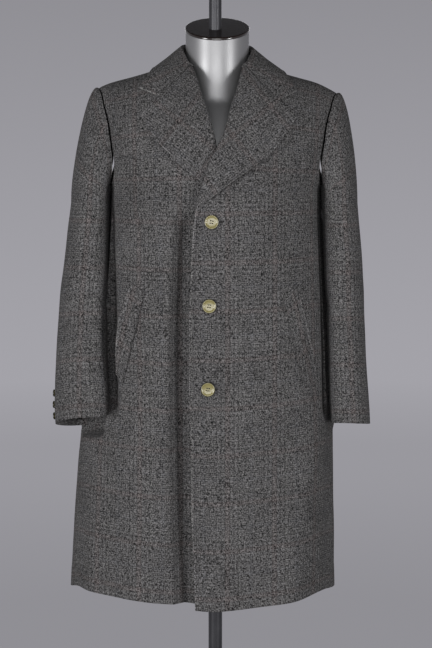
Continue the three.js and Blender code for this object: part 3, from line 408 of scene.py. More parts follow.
def coat_point(turn, level):
    """A point of the coat's outer face.

    Below the underarm level is the height less the underarm's, above it level runs from 0 to 1 on the
    shoulder seam. Turn is 0 at the front and 2 at the back.
    """
    turn, level = np.broadcast_arrays(np.asarray(turn, float), np.asarray(level, float))
    angle = np.abs(turn) * QUARTER
    across = np.abs(np.sin(angle)) ** (2 / ROUNDNESS)
    along = np.abs(np.cos(angle)) ** (2 / ROUNDNESS)
    is_front = np.abs(turn) <= 1
    sign = np.where(turn < 0, -1, 1)

    z = UNDERARM_Z + np.minimum(level, 0)
    out = fold_out(turn, z)
    x = sign * (by_side(turn, lambda side: read(SKIRT, "z", side, z)) + out) * across
    depth = np.where(is_front, -read(SKIRT, "z", "front", z) - out, read(SKIRT, "z", "back", z) + out)
    y = depth * along
    skirt = point(by_side(turn, lambda side: pressed_by_sleeve(side, x, y, z)), y, z)

    t = np.clip(level, 0, 1)
    out = fold_out(turn, UNDERARM_Z) * (1 - ease(t / 0.45))
    x = sign * (by_side(turn, lambda side: read(YOKE, "t", side, t)) + out) * across
    top = by_side(turn, lambda side: read(SHOULDER[side], "x", "z", np.abs(x)))
    rise, fall = np.sin(t * QUARTER), np.cos(t * QUARTER)
    fullness = lerp(0.5, 0.8, ease((np.abs(x) - 30) / 90))
    front = -(read(YOKE, "t", "front", t) + out) * along * fall
    back = (read(YOKE, "t", "back", t) + out) * along * np.maximum(fall, 0) ** fullness
    y = np.where(is_front, front, back)
    pressed = by_side(turn, lambda side: pressed_by_sleeve(side, x, y, UNDERARM_Z))
    yoke = point(lerp(pressed, x, ease(t / 0.05)), y, UNDERARM_Z + (top - UNDERARM_Z) * rise)
    return np.where((level <= 0)[..., None], skirt, yoke)


def coat_normal(turn, level):
    """The outward direction of the coat's face."""
    turn, level = np.broadcast_arrays(np.asarray(turn, float), np.asarray(level, float))
    step = np.where(level <= 0, 6, 0.02)
    down = np.where(level > 0, np.maximum(level - step, 0.001), level - step)
    up = np.where(level > 0, np.minimum(level + step, 1), np.minimum(level + step, 0))
    low, high = np.clip(turn - 0.012, -2, 2), np.clip(turn + 0.012, -2, 2)
    across = coat_point(high, level) - coat_point(low, level)
    rise = coat_point(turn, up) - coat_point(turn, down)
    return unit(np.cross(across, rise))


def level_of(x, z):
    """The level of a place on the front, from its distance from the middle and its height."""
    top = by_side(x, lambda side: read(SHOULDER[side], "x", "z", np.abs(x)))
    share = np.clip((z - UNDERARM_Z) / (top - UNDERARM_Z), 0, 1)
    return np.where(z <= UNDERARM_Z, z - UNDERARM_Z, np.arcsin(share) / QUARTER)


def turn_of(x, level):
    """The turn of a place on the front."""
    below = by_side(x, lambda side: read(SKIRT, "z", side, UNDERARM_Z + level))
    above = by_side(x, lambda side: read(YOKE, "t", side, level))
    share = np.clip(np.abs(x) / np.where(level <= 0, below, above), 0, 1)
    return np.sign(x) * np.arcsin(share ** (ROUNDNESS / 2)) / QUARTER


def edge_x(side, level):
    """The front's own edge below the underarm and its roll line above it."""
    below = read(EDGE[side], "z", "x", UNDERARM_Z + level)
    return np.where(level <= 0, below, read(ROLL[side], "t", "x", level))


def roll_x(side, z):
    x = np.zeros_like(np.asarray(z, float))
    for _ in range(12):
        x = edge_x(side, level_of(x, z))
    return x


def underlap_inset(turn, level):
    """The right front lies under the left one: how far it is set in near the left front's edge."""
    x = coat_point(turn, level)[..., 0]
    below = lerp(3.7, 11.5, ease((UNDERARM_Z + level - 1140) / 50))
    deep = np.where(level <= 0, below, 11.5)
    fade = np.where(level <= 0, 1, 1 - ease((level - 0.15) / 0.24))
    return deep * fade * ease((x - (edge_x("left", level) - 56)) / 46)


def side_hollow(side, points):
    """Moves a panel's points back where the cloth sinks in between the body and the hanging sleeve."""
    x, y, z = np.abs(points[..., 0]), points[..., 1], points[..., 2]
    start = read(HOLLOW[side], "z", "x", z)
    zone = ease((z - HOLLOW_LOW[side]) / 28) * (1 - ease((z - 1175) / 55))
    back = np.clip(HOLLOW_Y - y, 0, HOLLOW_DEEP) * ease((x - start) / 7) * zone
    return points + point(0, back, 0)


def edge_trough(turn, level):
    """Under the left front's edge the right front sinks in: a soft hollow beside the edge, in millimetres."""
    x = coat_point(turn, level)[..., 0]
    beside = x - edge_x("left", level)
    reach = ease((1215 - UNDERARM_Z - level) / 60)
    return 25 * reach * ease((beside + 42) / 20)


def softness(points):
    """Low swells of the wool, in millimetres: they run on over seams and through what lies on a panel."""
    swell = [
        1.0 * noise.noise(Vector(p) / 95)
        + 0.5 * noise.noise(Vector((p[0], p[1], p[2] * 0.6)) / 34 + Vector((7, 3, 1)))
        for p in points.reshape(-1, 3)
    ]
    return np.array(swell).reshape(points.shape[:-1])


def front_place(side, turn, level, out):
    """A point over the left front or the right one, out millimetres from its face."""
    inset = underlap_inset(turn, level) + edge_trough(turn, level) if side == "right" else 0
    base = coat_point(turn, level)
    return base + coat_normal(turn, level) * (out - inset + softness(base))[..., None]


def on_front(side, x, z, out):
    level = level_of(x, z)
    return front_place(side, turn_of(x, level), level, out)


def sleeve_ring(side, degrees, z, at_cuff):
    """A point of the sleeve's ring below the underarm; degrees run from the outermost line by the front."""
    outer, inner, middle, half = (read(SLEEVE[side], "z", c, z) for c in ("outer", "inner", "middle", "half"))
    angle = np.radians(degrees)
    cos, sin = np.cos(angle), np.sin(angle)
    flat = np.where((cos < 0) & (sin > 0), 2 / SLEEVE_FLATNESS, 1)
    side_part = np.sign(cos) * np.abs(cos) ** flat
    front_part = np.sign(sin) * np.abs(sin) ** flat
    x = (outer + inner) / 2 + (outer - inner) / 2 * side_part
    tilt = CUFF_TILT[side]["front"] * np.sin(angle) + CUFF_TILT[side]["outer"] * np.cos(angle)
    return point(SIGN[side] * x, middle - half * front_part, z + tilt * at_cuff)


def armhole_place(side, degrees):
    """Turn and level on the armhole seam, from the shoulder's tip (0 degrees) round by the front."""
    height = np.clip((1 + np.cos(np.radians(degrees))) / 2, 0.0004, 0.9999)
    level = np.clip(np.arcsin(height) / QUARTER, 0.004, 0.999)
    end = read(ARMHOLE, "t", "turn", level)
    return SIGN[side] * np.where(np.mod(degrees, 360) > 180, 2 - end, end), level


def sleeve_point(side, degrees, down):
    """A point of the sleeve's outer face: down is 0 at the armhole, 1 at the underarm's level, 2 at the cuff."""
    degrees, down = np.broadcast_arrays(np.asarray(degrees, float), np.asarray(down, float))
    sign = SIGN[side]
    cuff, top = SLEEVE[side]["z"][0], SLEEVE[side]["z"][-1]
    below = np.clip(down - 1, 0, 1)
    arm = sleeve_ring(side, degrees, lerp(top, cuff, below), ease(below))

    crown = (1 + np.cos(np.radians(degrees))) / 2
    t = np.clip(down, 0, 1)[..., None]
    start = coat_point(*armhole_place(side, degrees))
    start = start + point(sign * lerp(3.1, 1.9, crown), 0, 0)
    end = sleeve_ring(side, degrees, top, 0)
    leave = point(sign * lerp(8, 62, crown), 0, lerp(-30, 42, crown))
    arrive = point(0, 0, lerp(-30, -200, crown))
    head = (
        start * (2 * t**3 - 3 * t**2 + 1)
        + end * (3 * t**2 - 2 * t**3)
        + leave * (t**3 - 2 * t**2 + t)
        + arrive * (t**3 - t**2)
    )
    return np.where((down > 1)[..., None], arm, head)


def sleeve_normal(side, degrees, down):
    across = sleeve_point(side, degrees + 2, down) - sleeve_point(side, degrees - 2, down)
    fall = sleeve_point(side, degrees, np.minimum(down + 0.02, 2)) - sleeve_point(
        side, degrees, np.maximum(down - 0.02, 0)
    )
    own = unit(np.cross(across, fall)) * SIGN[side]
    seam = coat_normal(*armhole_place(side, degrees))
    share = ease(1 - np.asarray(down) / 0.12)[..., None]
    return unit(lerp(own, seam, share))


def on_sleeve(side, degrees, down, out):
    base = sleeve_point(side, degrees, down)
    return base + sleeve_normal(side, degrees, down) * (out + softness(base))[..., None]


# ---- Meshes ----


def make_object(name, bm, material):
    """A finished piece from a bmesh, smooth but for its sharp edges."""
    mesh = bpy.data.meshes.new(name)
    bm.to_mesh(mesh)
    bm.free()
    piece = bpy.data.objects.new(name, mesh)
    bpy.context.scene.collection.objects.link(piece)
    mesh.materials.append(material)
    mesh.shade_smooth()
    return piece


def bake(piece, sharp=50):
    """Applies a piece's modifiers to its mesh and marks its sharp edges."""
    graph = bpy.context.evaluated_depsgraph_get()
    mesh = bpy.data.meshes.new_from_object(piece.evaluated_get(graph))
    piece.modifiers.clear()
    old, name = piece.data, piece.data.name
    piece.data = mesh
    bpy.data.meshes.remove(old)
    mesh.name = name
    mesh.shade_smooth()
    mesh.set_sharp_from_angle(angle=math.radians(sharp))
    return piece


def grid(columns, rows):
    """A bmesh grid with its vertices in order of rows, and the grain layer that the weave follows."""
    bm = bmesh.new()
    bmesh.ops.create_grid(bm, x_segments=columns - 1, y_segments=rows - 1, size=0.5)
    verts = sorted(bm.verts, key=lambda v: (round(v.co.y, 6), round(v.co.x, 6)))
    for i, vert in enumerate(verts):
        vert.index = i
    bm.verts.sort()
    bm.verts.ensure_lookup_table()
    return bm


def lay_grain(bm, across, along, edge):
    """Keeps how far along the threads each vertex lies, in metres, and how near a pressed edge it is, where the
    wool gets its painted highlight.
    """
    grain = bm.loops.layers.uv.new("weave")
    pressed = bm.loops.layers.uv.new("pressed")
    across, along = across.ravel() * MM, along.ravel() * MM
    edge = np.broadcast_to(edge, (len(across),)) if np.ndim(edge) == 0 else np.asarray(edge).ravel()
    for face in bm.faces:
        for loop in face.loops:
            i = loop.vert.index
            loop[grain].uv = (across[i], along[i])
            loop[pressed].uv = (edge[i], 0)


def put(bm, points):
    for vert, place in zip(bm.verts, points.reshape(-1, 3)):
        vert.co = place * MM


def length_along(points, axis, start=0):
    """Distance along the rows or columns of a grid of points, 0 at one of them."""
    steps = np.linalg.norm(np.diff(points, axis=axis), axis=-1)
    pad = [(0, 0), (0, 0)]
    pad[axis] = (1, 0)
    run = np.cumsum(np.pad(steps, pad), axis=axis)
    return run - np.take(run, [start], axis=axis)


def cloth(name, points, across, along, material, outward, edge=0, wall=CLOTH, offset=-1):
    """A wall of cloth from a grid of points on its outer face, its rim rounded."""
    rows, columns = points.shape[:2]
    bm = grid(columns, rows)
    put(bm, points)
    lay_grain(bm, across, along, edge)
    bm.normal_update()
    if sum(v.normal.dot(Vector(o)) for v, o in zip(bm.verts, outward.reshape(-1, 3))) < 0:
        bmesh.ops.reverse_faces(bm, faces=bm.faces)
    piece = make_object(name, bm, material)
    solid = piece.modifiers.new("wall", "SOLIDIFY")
    solid.thickness = wall * MM
    solid.offset = offset
    rim = piece.modifiers.new("rim", "BEVEL")
    rim.width = 0.9 * MM
    rim.segments = 2
    rim.limit_method = "ANGLE"
    rim.angle_limit = math.radians(55)
    return bake(piece)


def loft(name, points, across, along, material, edge):
    """A closed piece from a grid of points whose rows are closed loops; its two ends are filled."""
    rows, columns = points.shape[:2]
    bm = grid(columns, rows)
    put(bm, points)
    lay_grain(bm, across, along, edge)
    bmesh.ops.remove_doubles(bm, verts=bm.verts, dist=0.02 * MM)
    bmesh.ops.holes_fill(bm, edges=[e for e in bm.edges if e.is_boundary], sides=0)
    bmesh.ops.triangulate(bm, faces=[f for f in bm.faces if len(f.verts) > 4])
    bmesh.ops.recalc_face_normals(bm, faces=bm.faces)
    return bake(make_object(name, bm, material))


def turn_profile(profile, steps):
    """A bmesh spun about Z from its radius and height pairs, closed where it meets the axis."""
    bm = bmesh.new()
    verts = [bm.verts.new((r * MM, 0, z * MM)) for r, z in profile]
    edges = [bm.edges.new(pair) for pair in zip(verts, verts[1:])]
    bmesh.ops.spin(
        bm, geom=verts + edges, axis=(0, 0, 1), cent=(0, 0, 0), angle=2 * math.pi, steps=steps, use_merge=True
    )
    bmesh.ops.remove_doubles(bm, verts=bm.verts, dist=0.01 * MM)
    bmesh.ops.recalc_face_normals(bm, faces=bm.faces)
    return bm


def lay_on(bm, place, normal):
    """Moves a shape made about Z onto a point of a surface."""
    turned = Vector((0, 0, 1)).rotation_difference(Vector(normal)).to_matrix().to_4x4()
    bmesh.ops.transform(bm, matrix=Matrix.Translation(Vector(place) * MM) @ turned, verts=bm.verts)
    return bm


def add_stitches(bm, path, normals, pitch=4.2, length=3.0, thick=0.5, turned=False):
    """Lays short stitches along a path; turned ones lie across it."""
    steps = np.linalg.norm(np.diff(path, axis=0), axis=1)
    run = np.concatenate([[0], np.cumsum(steps)])
    count = max(int(run[-1] / pitch), 1)
    for k in range(count):
        middle = (k + 0.5) * run[-1] / count
        ends = [
            Vector([np.interp(middle + half, run, path[:, axis]) for axis in range(3)])
            for half in (-length / 2, length / 2)
        ]
        up = Vector([np.interp(middle, run, normals[:, axis]) for axis in range(3)]).normalized()
        ahead = (ends[1] - ends[0]).normalized()
        aside = up.cross(ahead).normalized()
        if turned:
            ahead, aside = aside, -ahead
        place = (ends[0] + ends[1]) / 2
        lie = Matrix((ahead * length / 2, aside * thick / 2, up * thick / 2)).transposed().to_4x4()
        bmesh.ops.create_icosphere(
            bm, subdivisions=1, radius=MM, matrix=Matrix.Translation(place * MM) @ lie
        )


# ---- Materials ----


def colour(code):
    """An sRGB hex colour as linear red, green, blue and alpha."""
    parts = [int(code[i : i + 2], 16) / 255 for i in (1, 3, 5)]
    return [p / 12.92 if p <= 0.04045 else ((p + 0.055) / 1.055) ** 2.4 for p in parts] + [1]


def add(tree, kind, inputs=None, out=0, **settings):
    """Adds a node with its settings, values and links, and gives one of its outputs."""
    node = tree.nodes.new(kind)
    for key, value in settings.items():
        setattr(node, key, value)
    for key, value in (inputs or {}).items():
        if isinstance(value, bpy.types.NodeSocket):
            tree.links.new(value, node.inputs[key])
        else:
            node.inputs[key].default_value = value
    return node.outputs[out]


def mix(tree, factor, first, second, **settings):
    """Mixes two colours."""
    inputs = {"Factor": factor, 6: first, 7: second}
    return add(tree, "ShaderNodeMix", inputs, out=2, data_type="RGBA", **settings)


def new_material(name):
    material = bpy.data.materials.new(name)
    material.use_nodes = True
    tree = material.node_tree
    return material, tree, tree.nodes["Principled BSDF"]


# One real thread of this tweed is about 1.05 mm wide, and the check repeats every 88 threads both ways.
# Its first 48 threads are dark and light by fours.
THREAD = 1.05 * MM
REPEAT = 88
COARSE = 48


def thread_is_dark(tree, index, repeat):
    """A thread's place in the repeat, and 1 on a dark thread: first four and four by turns, then two and two."""
    place = add(tree, "ShaderNodeMath", {0: index, 1: repeat}, operation="FLOORED_MODULO")
    fours = add(tree, "ShaderNodeMath", {0: place, 1: 8}, operation="FLOORED_MODULO")
    fours = add(tree, "ShaderNodeMath", {0: fours, 1: 3.5}, operation="LESS_THAN")
    twos = add(tree, "ShaderNodeMath", {0: place, 1: 4}, operation="FLOORED_MODULO")
    twos = add(tree, "ShaderNodeMath", {0: twos, 1: 1.5}, operation="LESS_THAN")
    coarse = add(tree, "ShaderNodeMath", {0: place, 1: COARSE - 0.5}, operation="LESS_THAN")
    dark = add(tree, "ShaderNodeMix", {"Factor": coarse, 2: twos, 3: fours}, data_type="FLOAT")
    return place, dark


# The over-check's coloured threads: middle and half width in threads, and their dye
OVER_CHECK = ((22, 4.5, "#8a4a30"), (66, 3.5, "#3b4c63"), (44, 2.0, "#55603f"))


def thread_colour(tree, index, repeat):
    """A thread's own colour, with the faint rust, blue and green threads of the over-check."""
    place, dark = thread_is_dark(tree, index, repeat)
    base = mix(tree, dark, colour("#787676"), colour("#383635"))
    for middle, half, code in OVER_CHECK:
        away = add(tree, "ShaderNodeMath", {0: place, 1: middle}, operation="SUBTRACT")
        away = add(tree, "ShaderNodeMath", {0: away}, operation="ABSOLUTE")
        near = add(tree, "ShaderNodeMath", {0: away, 1: half}, operation="LESS_THAN")
        near = add(tree, "ShaderNodeMath", {0: near, 1: 0.16}, operation="MULTIPLY")
        base = mix(tree, near, base, colour(code))
    return base


def wool_tweed():
    """Carded wool in a two-and-two twill with a shadowy glen check, then milled and brushed.

    The eye gets a matt, mottled dark grey with no gloss and a soft nap. The check barely shows, since
    milling mats the fibres of neighbouring threads. The threads' width is a guess at the real one.
    """
    material, tree, surface = new_material("wool_tweed_glen_check")
    weave = add(tree, "ShaderNodeUVMap", uv_map="weave")
    wander = add(tree, "ShaderNodeTexNoise", {"Vector": weave, "Scale": 60.0, "Detail": 2.0}, out="Color")
    wander = add(tree, "ShaderNodeVectorMath", {0: wander, 1: (0.5, 0.5, 0.5)}, operation="SUBTRACT")
    wander = add(tree, "ShaderNodeVectorMath", {0: wander, "Scale": 3.4 * MM}, operation="SCALE")
    weave = add(tree, "ShaderNodeVectorMath", {0: weave, 1: wander}, operation="ADD")
    threads = add(tree, "ShaderNodeVectorMath", {0: weave, "Scale": 1 / THREAD}, operation="SCALE")
    threads = add(tree, "ShaderNodeVectorMath", {0: threads}, operation="FLOOR")
    warp = add(tree, "ShaderNodeSeparateXYZ", {0: threads})
    weft = add(tree, "ShaderNodeSeparateXYZ", {0: threads}, out=1)
    warp_colour = thread_colour(tree, warp, REPEAT)
    weft_colour = thread_colour(tree, weft, REPEAT)
    step = add(tree, "ShaderNodeMath", {0: warp, 1: weft}, operation="ADD")
    step = add(tree, "ShaderNodeMath", {0: step, 1: 4}, operation="FLOORED_MODULO")
    over = add(tree, "ShaderNodeMath", {0: step, 1: 1.5}, operation="LESS_THAN")
    woven = mix(tree, over, weft_colour, warp_colour)
    milled = mix(tree, 0.7, woven, colour("#525152"))

    # Flecks are tufts of light and dark fibre 2 to 4 mm long, and the dye takes a little unevenly
    place = add(tree, "ShaderNodeTexCoord", out="Object")
    fleck = add(tree, "ShaderNodeTexNoise", {"Vector": place, "Scale": 370.0, "Detail": 3.0, "Roughness": 0.7})
    fleck = add(tree, "ShaderNodeMapRange", {0: fleck, 1: 0.37, 2: 0.63, 3: 0.0, 4: 1.98})
    broad = add(tree, "ShaderNodeTexNoise", {"Vector": place, "Scale": 12.0, "Detail": 3.0})
    broad = add(tree, "ShaderNodeMapRange", {0: broad, 1: 0.3, 2: 0.7, 3: 0.9, 4: 1.1})
    shade = add(tree, "ShaderNodeMath", {0: fleck, 1: broad}, operation="MULTIPLY")
    # Painted highlight along pressed edges: the wool is painted up to 1.6 times lighter there, partly for the light
    # a rolled edge catches, partly for its rubbed, lighter nap
    edge = add(tree, "ShaderNodeUVMap", uv_map="pressed")
    edge = add(tree, "ShaderNodeSeparateXYZ", {0: edge})
    edge = add(tree, "ShaderNodeMapRange", {0: edge, 1: 0.0, 2: 1.0, 3: 1.0, 4: 1.6})
    shade = add(tree, "ShaderNodeMath", {0: shade, 1: edge}, operation="MULTIPLY")
    final = mix(tree, 1.0, milled, shade, blend_type="MULTIPLY")
    tree.links.new(final, surface.inputs["Base Color"])
    nap = add(tree, "ShaderNodeTexNoise", {"Vector": place, "Scale": 600.0, "Detail": 2.0})
    relief = add(tree, "ShaderNodeBump", {"Strength": 0.5, "Distance": 0.6 * MM, "Height": nap})
    tree.links.new(relief, surface.inputs["Normal"])
    surface.inputs["Roughness"].default_value = 0.95
    surface.inputs["Specular IOR Level"].default_value = 0.08
    surface.inputs["Sheen Weight"].default_value = 0.03
    surface.inputs["Sheen Roughness"].default_value = 0.6
    return material


def sewing_thread():
    """Spun polyester thread, slightly glossier and a little lighter than the wool it sinks into."""
    material, tree, surface = new_material("sewing_thread_spun")
    place = add(tree, "ShaderNodeTexCoord", out="Object")
    twist = add(tree, "ShaderNodeTexNoise", {"Vector": place, "Scale": 900.0, "Detail": 2.0})
    shade = mix(tree, twist, colour("#3c3b3e"), colour("#77757a"))
    tree.links.new(shade, surface.inputs["Base Color"])
    surface.inputs["Roughness"].default_value = 0.6
    return material


def dark_thread():
    """Waxed button thread, nearly black in the holes."""
    material, tree, surface = new_material("button_thread_waxed")
    place = add(tree, "ShaderNodeTexCoord", out="Object")
    twist = add(tree, "ShaderNodeTexNoise", {"Vector": place, "Scale": 1200.0, "Detail": 2.0})
    shade = mix(tree, twist, colour("#141312"), colour("#3a3733"))
    tree.links.new(shade, surface.inputs["Base Color"])
    surface.inputs["Roughness"].default_value = 0.5
    return material


def horn_resin():
    """Cast polyester button in the look of pale olive horn: streaked, polished, darker at its rim."""
    material, tree, surface = new_material("button_resin_horn")
    place = add(tree, "ShaderNodeUVMap", uv_map="weave")
    across = add(tree, "ShaderNodeVectorMath", {0: place}, operation="LENGTH", out="Value")
    streak = add(tree, "ShaderNodeTexNoise", {"Vector": place, "Scale": 190.0, "Detail": 4.0, "Distortion": 2.5})
    body = mix(tree, streak, colour("#655c33"), colour("#a39a66"))
    rim = add(tree, "ShaderNodeMapRange", {0: across, 1: 0.86, 2: 0.96, 3: 0.0, 4: 1.0})
    final = mix(tree, rim, body, colour("#1f1c10"))
    tree.links.new(final, surface.inputs["Base Color"])
    surface.inputs["Roughness"].default_value = 0.24
    surface.inputs["IOR"].default_value = 1.54
    surface.inputs["Coat Weight"].default_value = 0.3
    surface.inputs["Coat Roughness"].default_value = 0.08
    return material


def satin_silver():
    """Fibreglass form sprayed with satin aluminium lacquer: pale, evenly reflective, finely speckled."""
    material, tree, surface = new_material("form_lacquer_satin_silver")
    place = add(tree, "ShaderNodeTexCoord", out="Object")
    speck = add(tree, "ShaderNodeTexNoise", {"Vector": place, "Scale": 1500.0, "Detail": 2.0})
    shade = mix(tree, speck, colour("#909091"), colour("#a6a6a7"))
    tree.links.new(shade, surface.inputs["Base Color"])
    sheen = add(tree, "ShaderNodeTexNoise", {"Vector": place, "Scale": 9.0, "Detail": 3.0})
    rough = add(tree, "ShaderNodeMapRange", {0: sheen, 1: 0.3, 2: 0.7, 3: 0.40, 4: 0.50})
    tree.links.new(rough, surface.inputs["Roughness"])
    relief = add(tree, "ShaderNodeBump", {"Strength": 0.08, "Distance": 0.2 * MM, "Height": speck})
    tree.links.new(relief, surface.inputs["Normal"])
    surface.inputs["Metallic"].default_value = 0.68
    return material


def gloss_cap():
    """Turned wood disc under dark brown, nearly black lacquer: deep colour and sharp reflections."""
    material, tree, surface = new_material("cap_lacquer_dark_brown")
    place = add(tree, "ShaderNodeTexCoord", out="Object")
    grain = add(tree, "ShaderNodeTexNoise", {"Vector": place, "Scale": 40.0, "Detail": 4.0, "Distortion": 1.0})
    shade = mix(tree, grain, colour("#120d0b"), colour("#2a1d17"))
    tree.links.new(shade, surface.inputs["Base Color"])
    surface.inputs["Roughness"].default_value = 0.16
    surface.inputs["Coat Weight"].default_value = 1.0
    surface.inputs["Coat Roughness"].default_value = 0.05
    return material


def grey_steel():
    """Steel tube with a semi-gloss graphite finish: dark, with tight vertical highlights."""
    material, tree, surface = new_material("stand_steel_graphite")
    place = add(tree, "ShaderNodeTexCoord", out="Object")
    wear = add(tree, "ShaderNodeTexNoise", {"Vector": place, "Scale": 25.0, "Detail": 5.0})
    shade = mix(tree, wear, colour("#38383b"), colour("#4b4b4e"))
    tree.links.new(shade, surface.inputs["Base Color"])
    rough = add(tree, "ShaderNodeMapRange", {0: wear, 1: 0.3, 2: 0.7, 3: 0.3, 4: 0.4})
    tree.links.new(rough, surface.inputs["Roughness"])
    surface.inputs["Metallic"].default_value = 0.6
    return material


WOOL = wool_tweed()
THREAD_GREY = sewing_thread()
THREAD_DARK = dark_thread()
HORN = horn_resin()
SILVER = satin_silver()
CAP = gloss_cap()
STEEL = grey_steel()


def declare(piece, slot, *nodes):
    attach(piece, "root")
    if nodes:
        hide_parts(*nodes)
    return piece


# ---- The coat ----

# Distances in from a made-up edge, close enough together for the turned edge and its row of stitching
EDGE_COLUMNS = np.array([0, 1, 2.2, 3.6, 5, 6.4, 7.4, 8.2, 9, 10, 11.5, 14, 17])
EDGE_MARGIN = 20
STITCH_IN = 8.2


def made_edge(away):
    """Thickness that the turned-in seam gives a made-up edge, and the groove of its stitching."""
    return 1.0 * ease(1 - away / 9) - 1.0 * bump(away - STITCH_IN, 1.5)


def gap_turn(reach):
    """A seam's half gap as a share of a turn."""
    return SEAM_GAP / 2 / reach / QUARTER


def seam_press(away):
    """A pressed seam sinks a little into the cloth."""
    return -0.9 * bump(away, 2.6)


def hem_fold(above):
    """The turned-up hem thickens the cloth by a trace, up to 42 mm above its edge."""
    return 0.5 * (1 - ease((above - 36) / 9))


SKIRT_ROWS = 162
YOKE_ROWS = 56


def row_levels():
    """For each row of a panel its share up the skirt and its level on the yoke."""
    share = np.concatenate([np.linspace(0, 1, SKIRT_ROWS), np.ones(YOKE_ROWS)])
    level = np.concatenate([np.zeros(SKIRT_ROWS), np.linspace(0, 1, YOKE_ROWS + 1)[1:]])
    return share[:, None], level[:, None]


def front_panel(side):
    sign = SIGN[side]
    share, yoke = row_levels()
    is_yoke = yoke > 0
    hem_edge = read(HEM[side], "turn", "z", 0)
    edge_level = np.where(is_yoke, yoke, (hem_edge - UNDERARM_Z) * (1 - share))
    start = edge_x(side, edge_level)
    end = np.where(is_yoke, read(ARMHOLE, "t", "turn", yoke), 1)
    last = sign * (end - gap_turn(210) * np.where(is_yoke, 1.4, 1.6))
    inset = np.concatenate([EDGE_COLUMNS, np.full(60, EDGE_MARGIN)])[None, :]
    over = np.concatenate([np.zeros(len(EDGE_COLUMNS)), np.linspace(0, 1, 60)])[None, :]
    turn = lerp(turn_of(start + sign * inset, edge_level), last, over)
    hem = read(HEM[side], "turn", "z", np.abs(turn))
    level = np.where(is_yoke, np.minimum(yoke, 1 - 0.0011), (hem - UNDERARM_Z) * (1 - share))
    place = coat_point(turn, level)
    to_seam = np.linalg.norm(place - place[:, -1:], axis=-1)
    from_edge = np.where(over > 0, 99, inset)
    out = made_edge(from_edge) * np.where(is_yoke, 0, 1) + seam_press(to_seam)
    out = out + hem_fold(np.where(is_yoke, 99, place[..., 2] - hem))
    points = side_hollow(side, front_place(side, turn, level, out))
    outward = coat_normal(turn, level)
    middle = np.abs(place[..., 0]).argmin(axis=1)
    run = length_along(points, 1)
    from_middle = sign * np.take_along_axis(place[..., 0], middle[:, None], axis=1)
    across = run - np.take_along_axis(run, middle[:, None], axis=1) + from_middle
    along = np.broadcast_to(np.mean(length_along(points, 0), axis=1)[:, None], run.shape)
    # Painted highlight along the left front's made-up edge, partly for its rubbed nap
    edge = (1 - ease(from_edge / 3.4)) * np.where(is_yoke, 0, 1) if side == "left" else 0
    return cloth("coat_front_" + side, points, sign * across, along, WOOL, outward, edge)


def back_panel(side):
    sign = SIGN[side]
    share, yoke = row_levels()
    is_yoke = yoke > 0
    end = np.where(is_yoke, read(ARMHOLE, "t", "turn", yoke), 1)
    start = 2 - gap_turn(150) * 1.4
    last = np.where(is_yoke, 2 - end + gap_turn(210) * 1.4, 1 + gap_turn(210) * 1.6)
    over = np.concatenate([np.array([0, 0.008, 0.016, 0.028]), np.linspace(0.045, 0.96, 50), np.array([0.975, 0.988, 1])])
    turn = sign * lerp(start, last, over[None, :])
    hem = read(HEM[side], "turn", "z", np.abs(turn))
    x = np.abs(coat_point(turn, np.where(is_yoke, yoke, 0))[..., 0])
    level = np.where(
        is_yoke, np.minimum(yoke * read(NECKLINE, "x", "t", x), 1 - 0.0013), (hem - UNDERARM_Z) * (1 - share)
    )
    place = coat_point(turn, level)
    normal = coat_normal(turn, level)
    to_side = np.linalg.norm(place - place[:, -1:], axis=-1)
    to_middle = np.linalg.norm(place - place[:, :1], axis=-1)
    out = seam_press(to_side) + seam_press(to_middle) + hem_fold(np.where(is_yoke, 99, place[..., 2] - hem))
    points = side_hollow(side, place + normal * (out + softness(place))[..., None])
    across = length_along(points, 1)
    along = np.broadcast_to(np.mean(length_along(points, 0), axis=1)[:, None], across.shape)
    return cloth("coat_back_" + side, points, sign * across, along, WOOL, normal)


def lapel_row(side, row):
    """A lapel's roll height and outer edge at each row."""
    low, high = LAPEL[side]
    below = row <= LAPEL_POINT_ROW
    return [
        np.where(below, read(low, "row", column, row), read(high, "row", column, row))
        for column in ("roll_z", "edge_x", "edge_z")
    ]


LAPEL_STITCH_IN = 5.0
# The lapel is cut with its threads along its edge, so they lean against the front's
LAPEL_GRAIN = math.radians(38)
LAPEL_EDGE = np.array([0.9, 1.8, 2.9, 3.9, 4.6, 5.3, 6.2, 7.6, 9.6, 12])


def lapel_floor(side, up, wide, share):
    """How far the lapel's underside stands off the front."""
    settle = ease((up - 0.25) / 0.3) if side == "right" else 1
    lift = LAPEL_LIFT * np.sin(math.pi * np.clip(0.12 + 0.8 * up, 0, 1)) * np.clip(wide / 60, 0.1, 1) * settle
    clear = LAY_GAP + (1.5 * np.clip(2.6 - 4 * np.abs(up - 0.4), 0, 1) if side == "right" else 0)
    return clear + lift * share**2


def lapel_place(side, row, share, over):
    """A point over the lapel's own place on the front; over is above its underside."""
    roll_z, outer_x, outer_z = lapel_row(side, row)
    start = roll_x(side, roll_z)
    wide = np.hypot(outer_x - start, outer_z - roll_z)
    up = row / LAPEL_ROWS
    out = lapel_floor(side, up, wide, share) + over
    return on_front(side, lerp(start, outer_x, share), lerp(roll_z, outer_z, share), out)


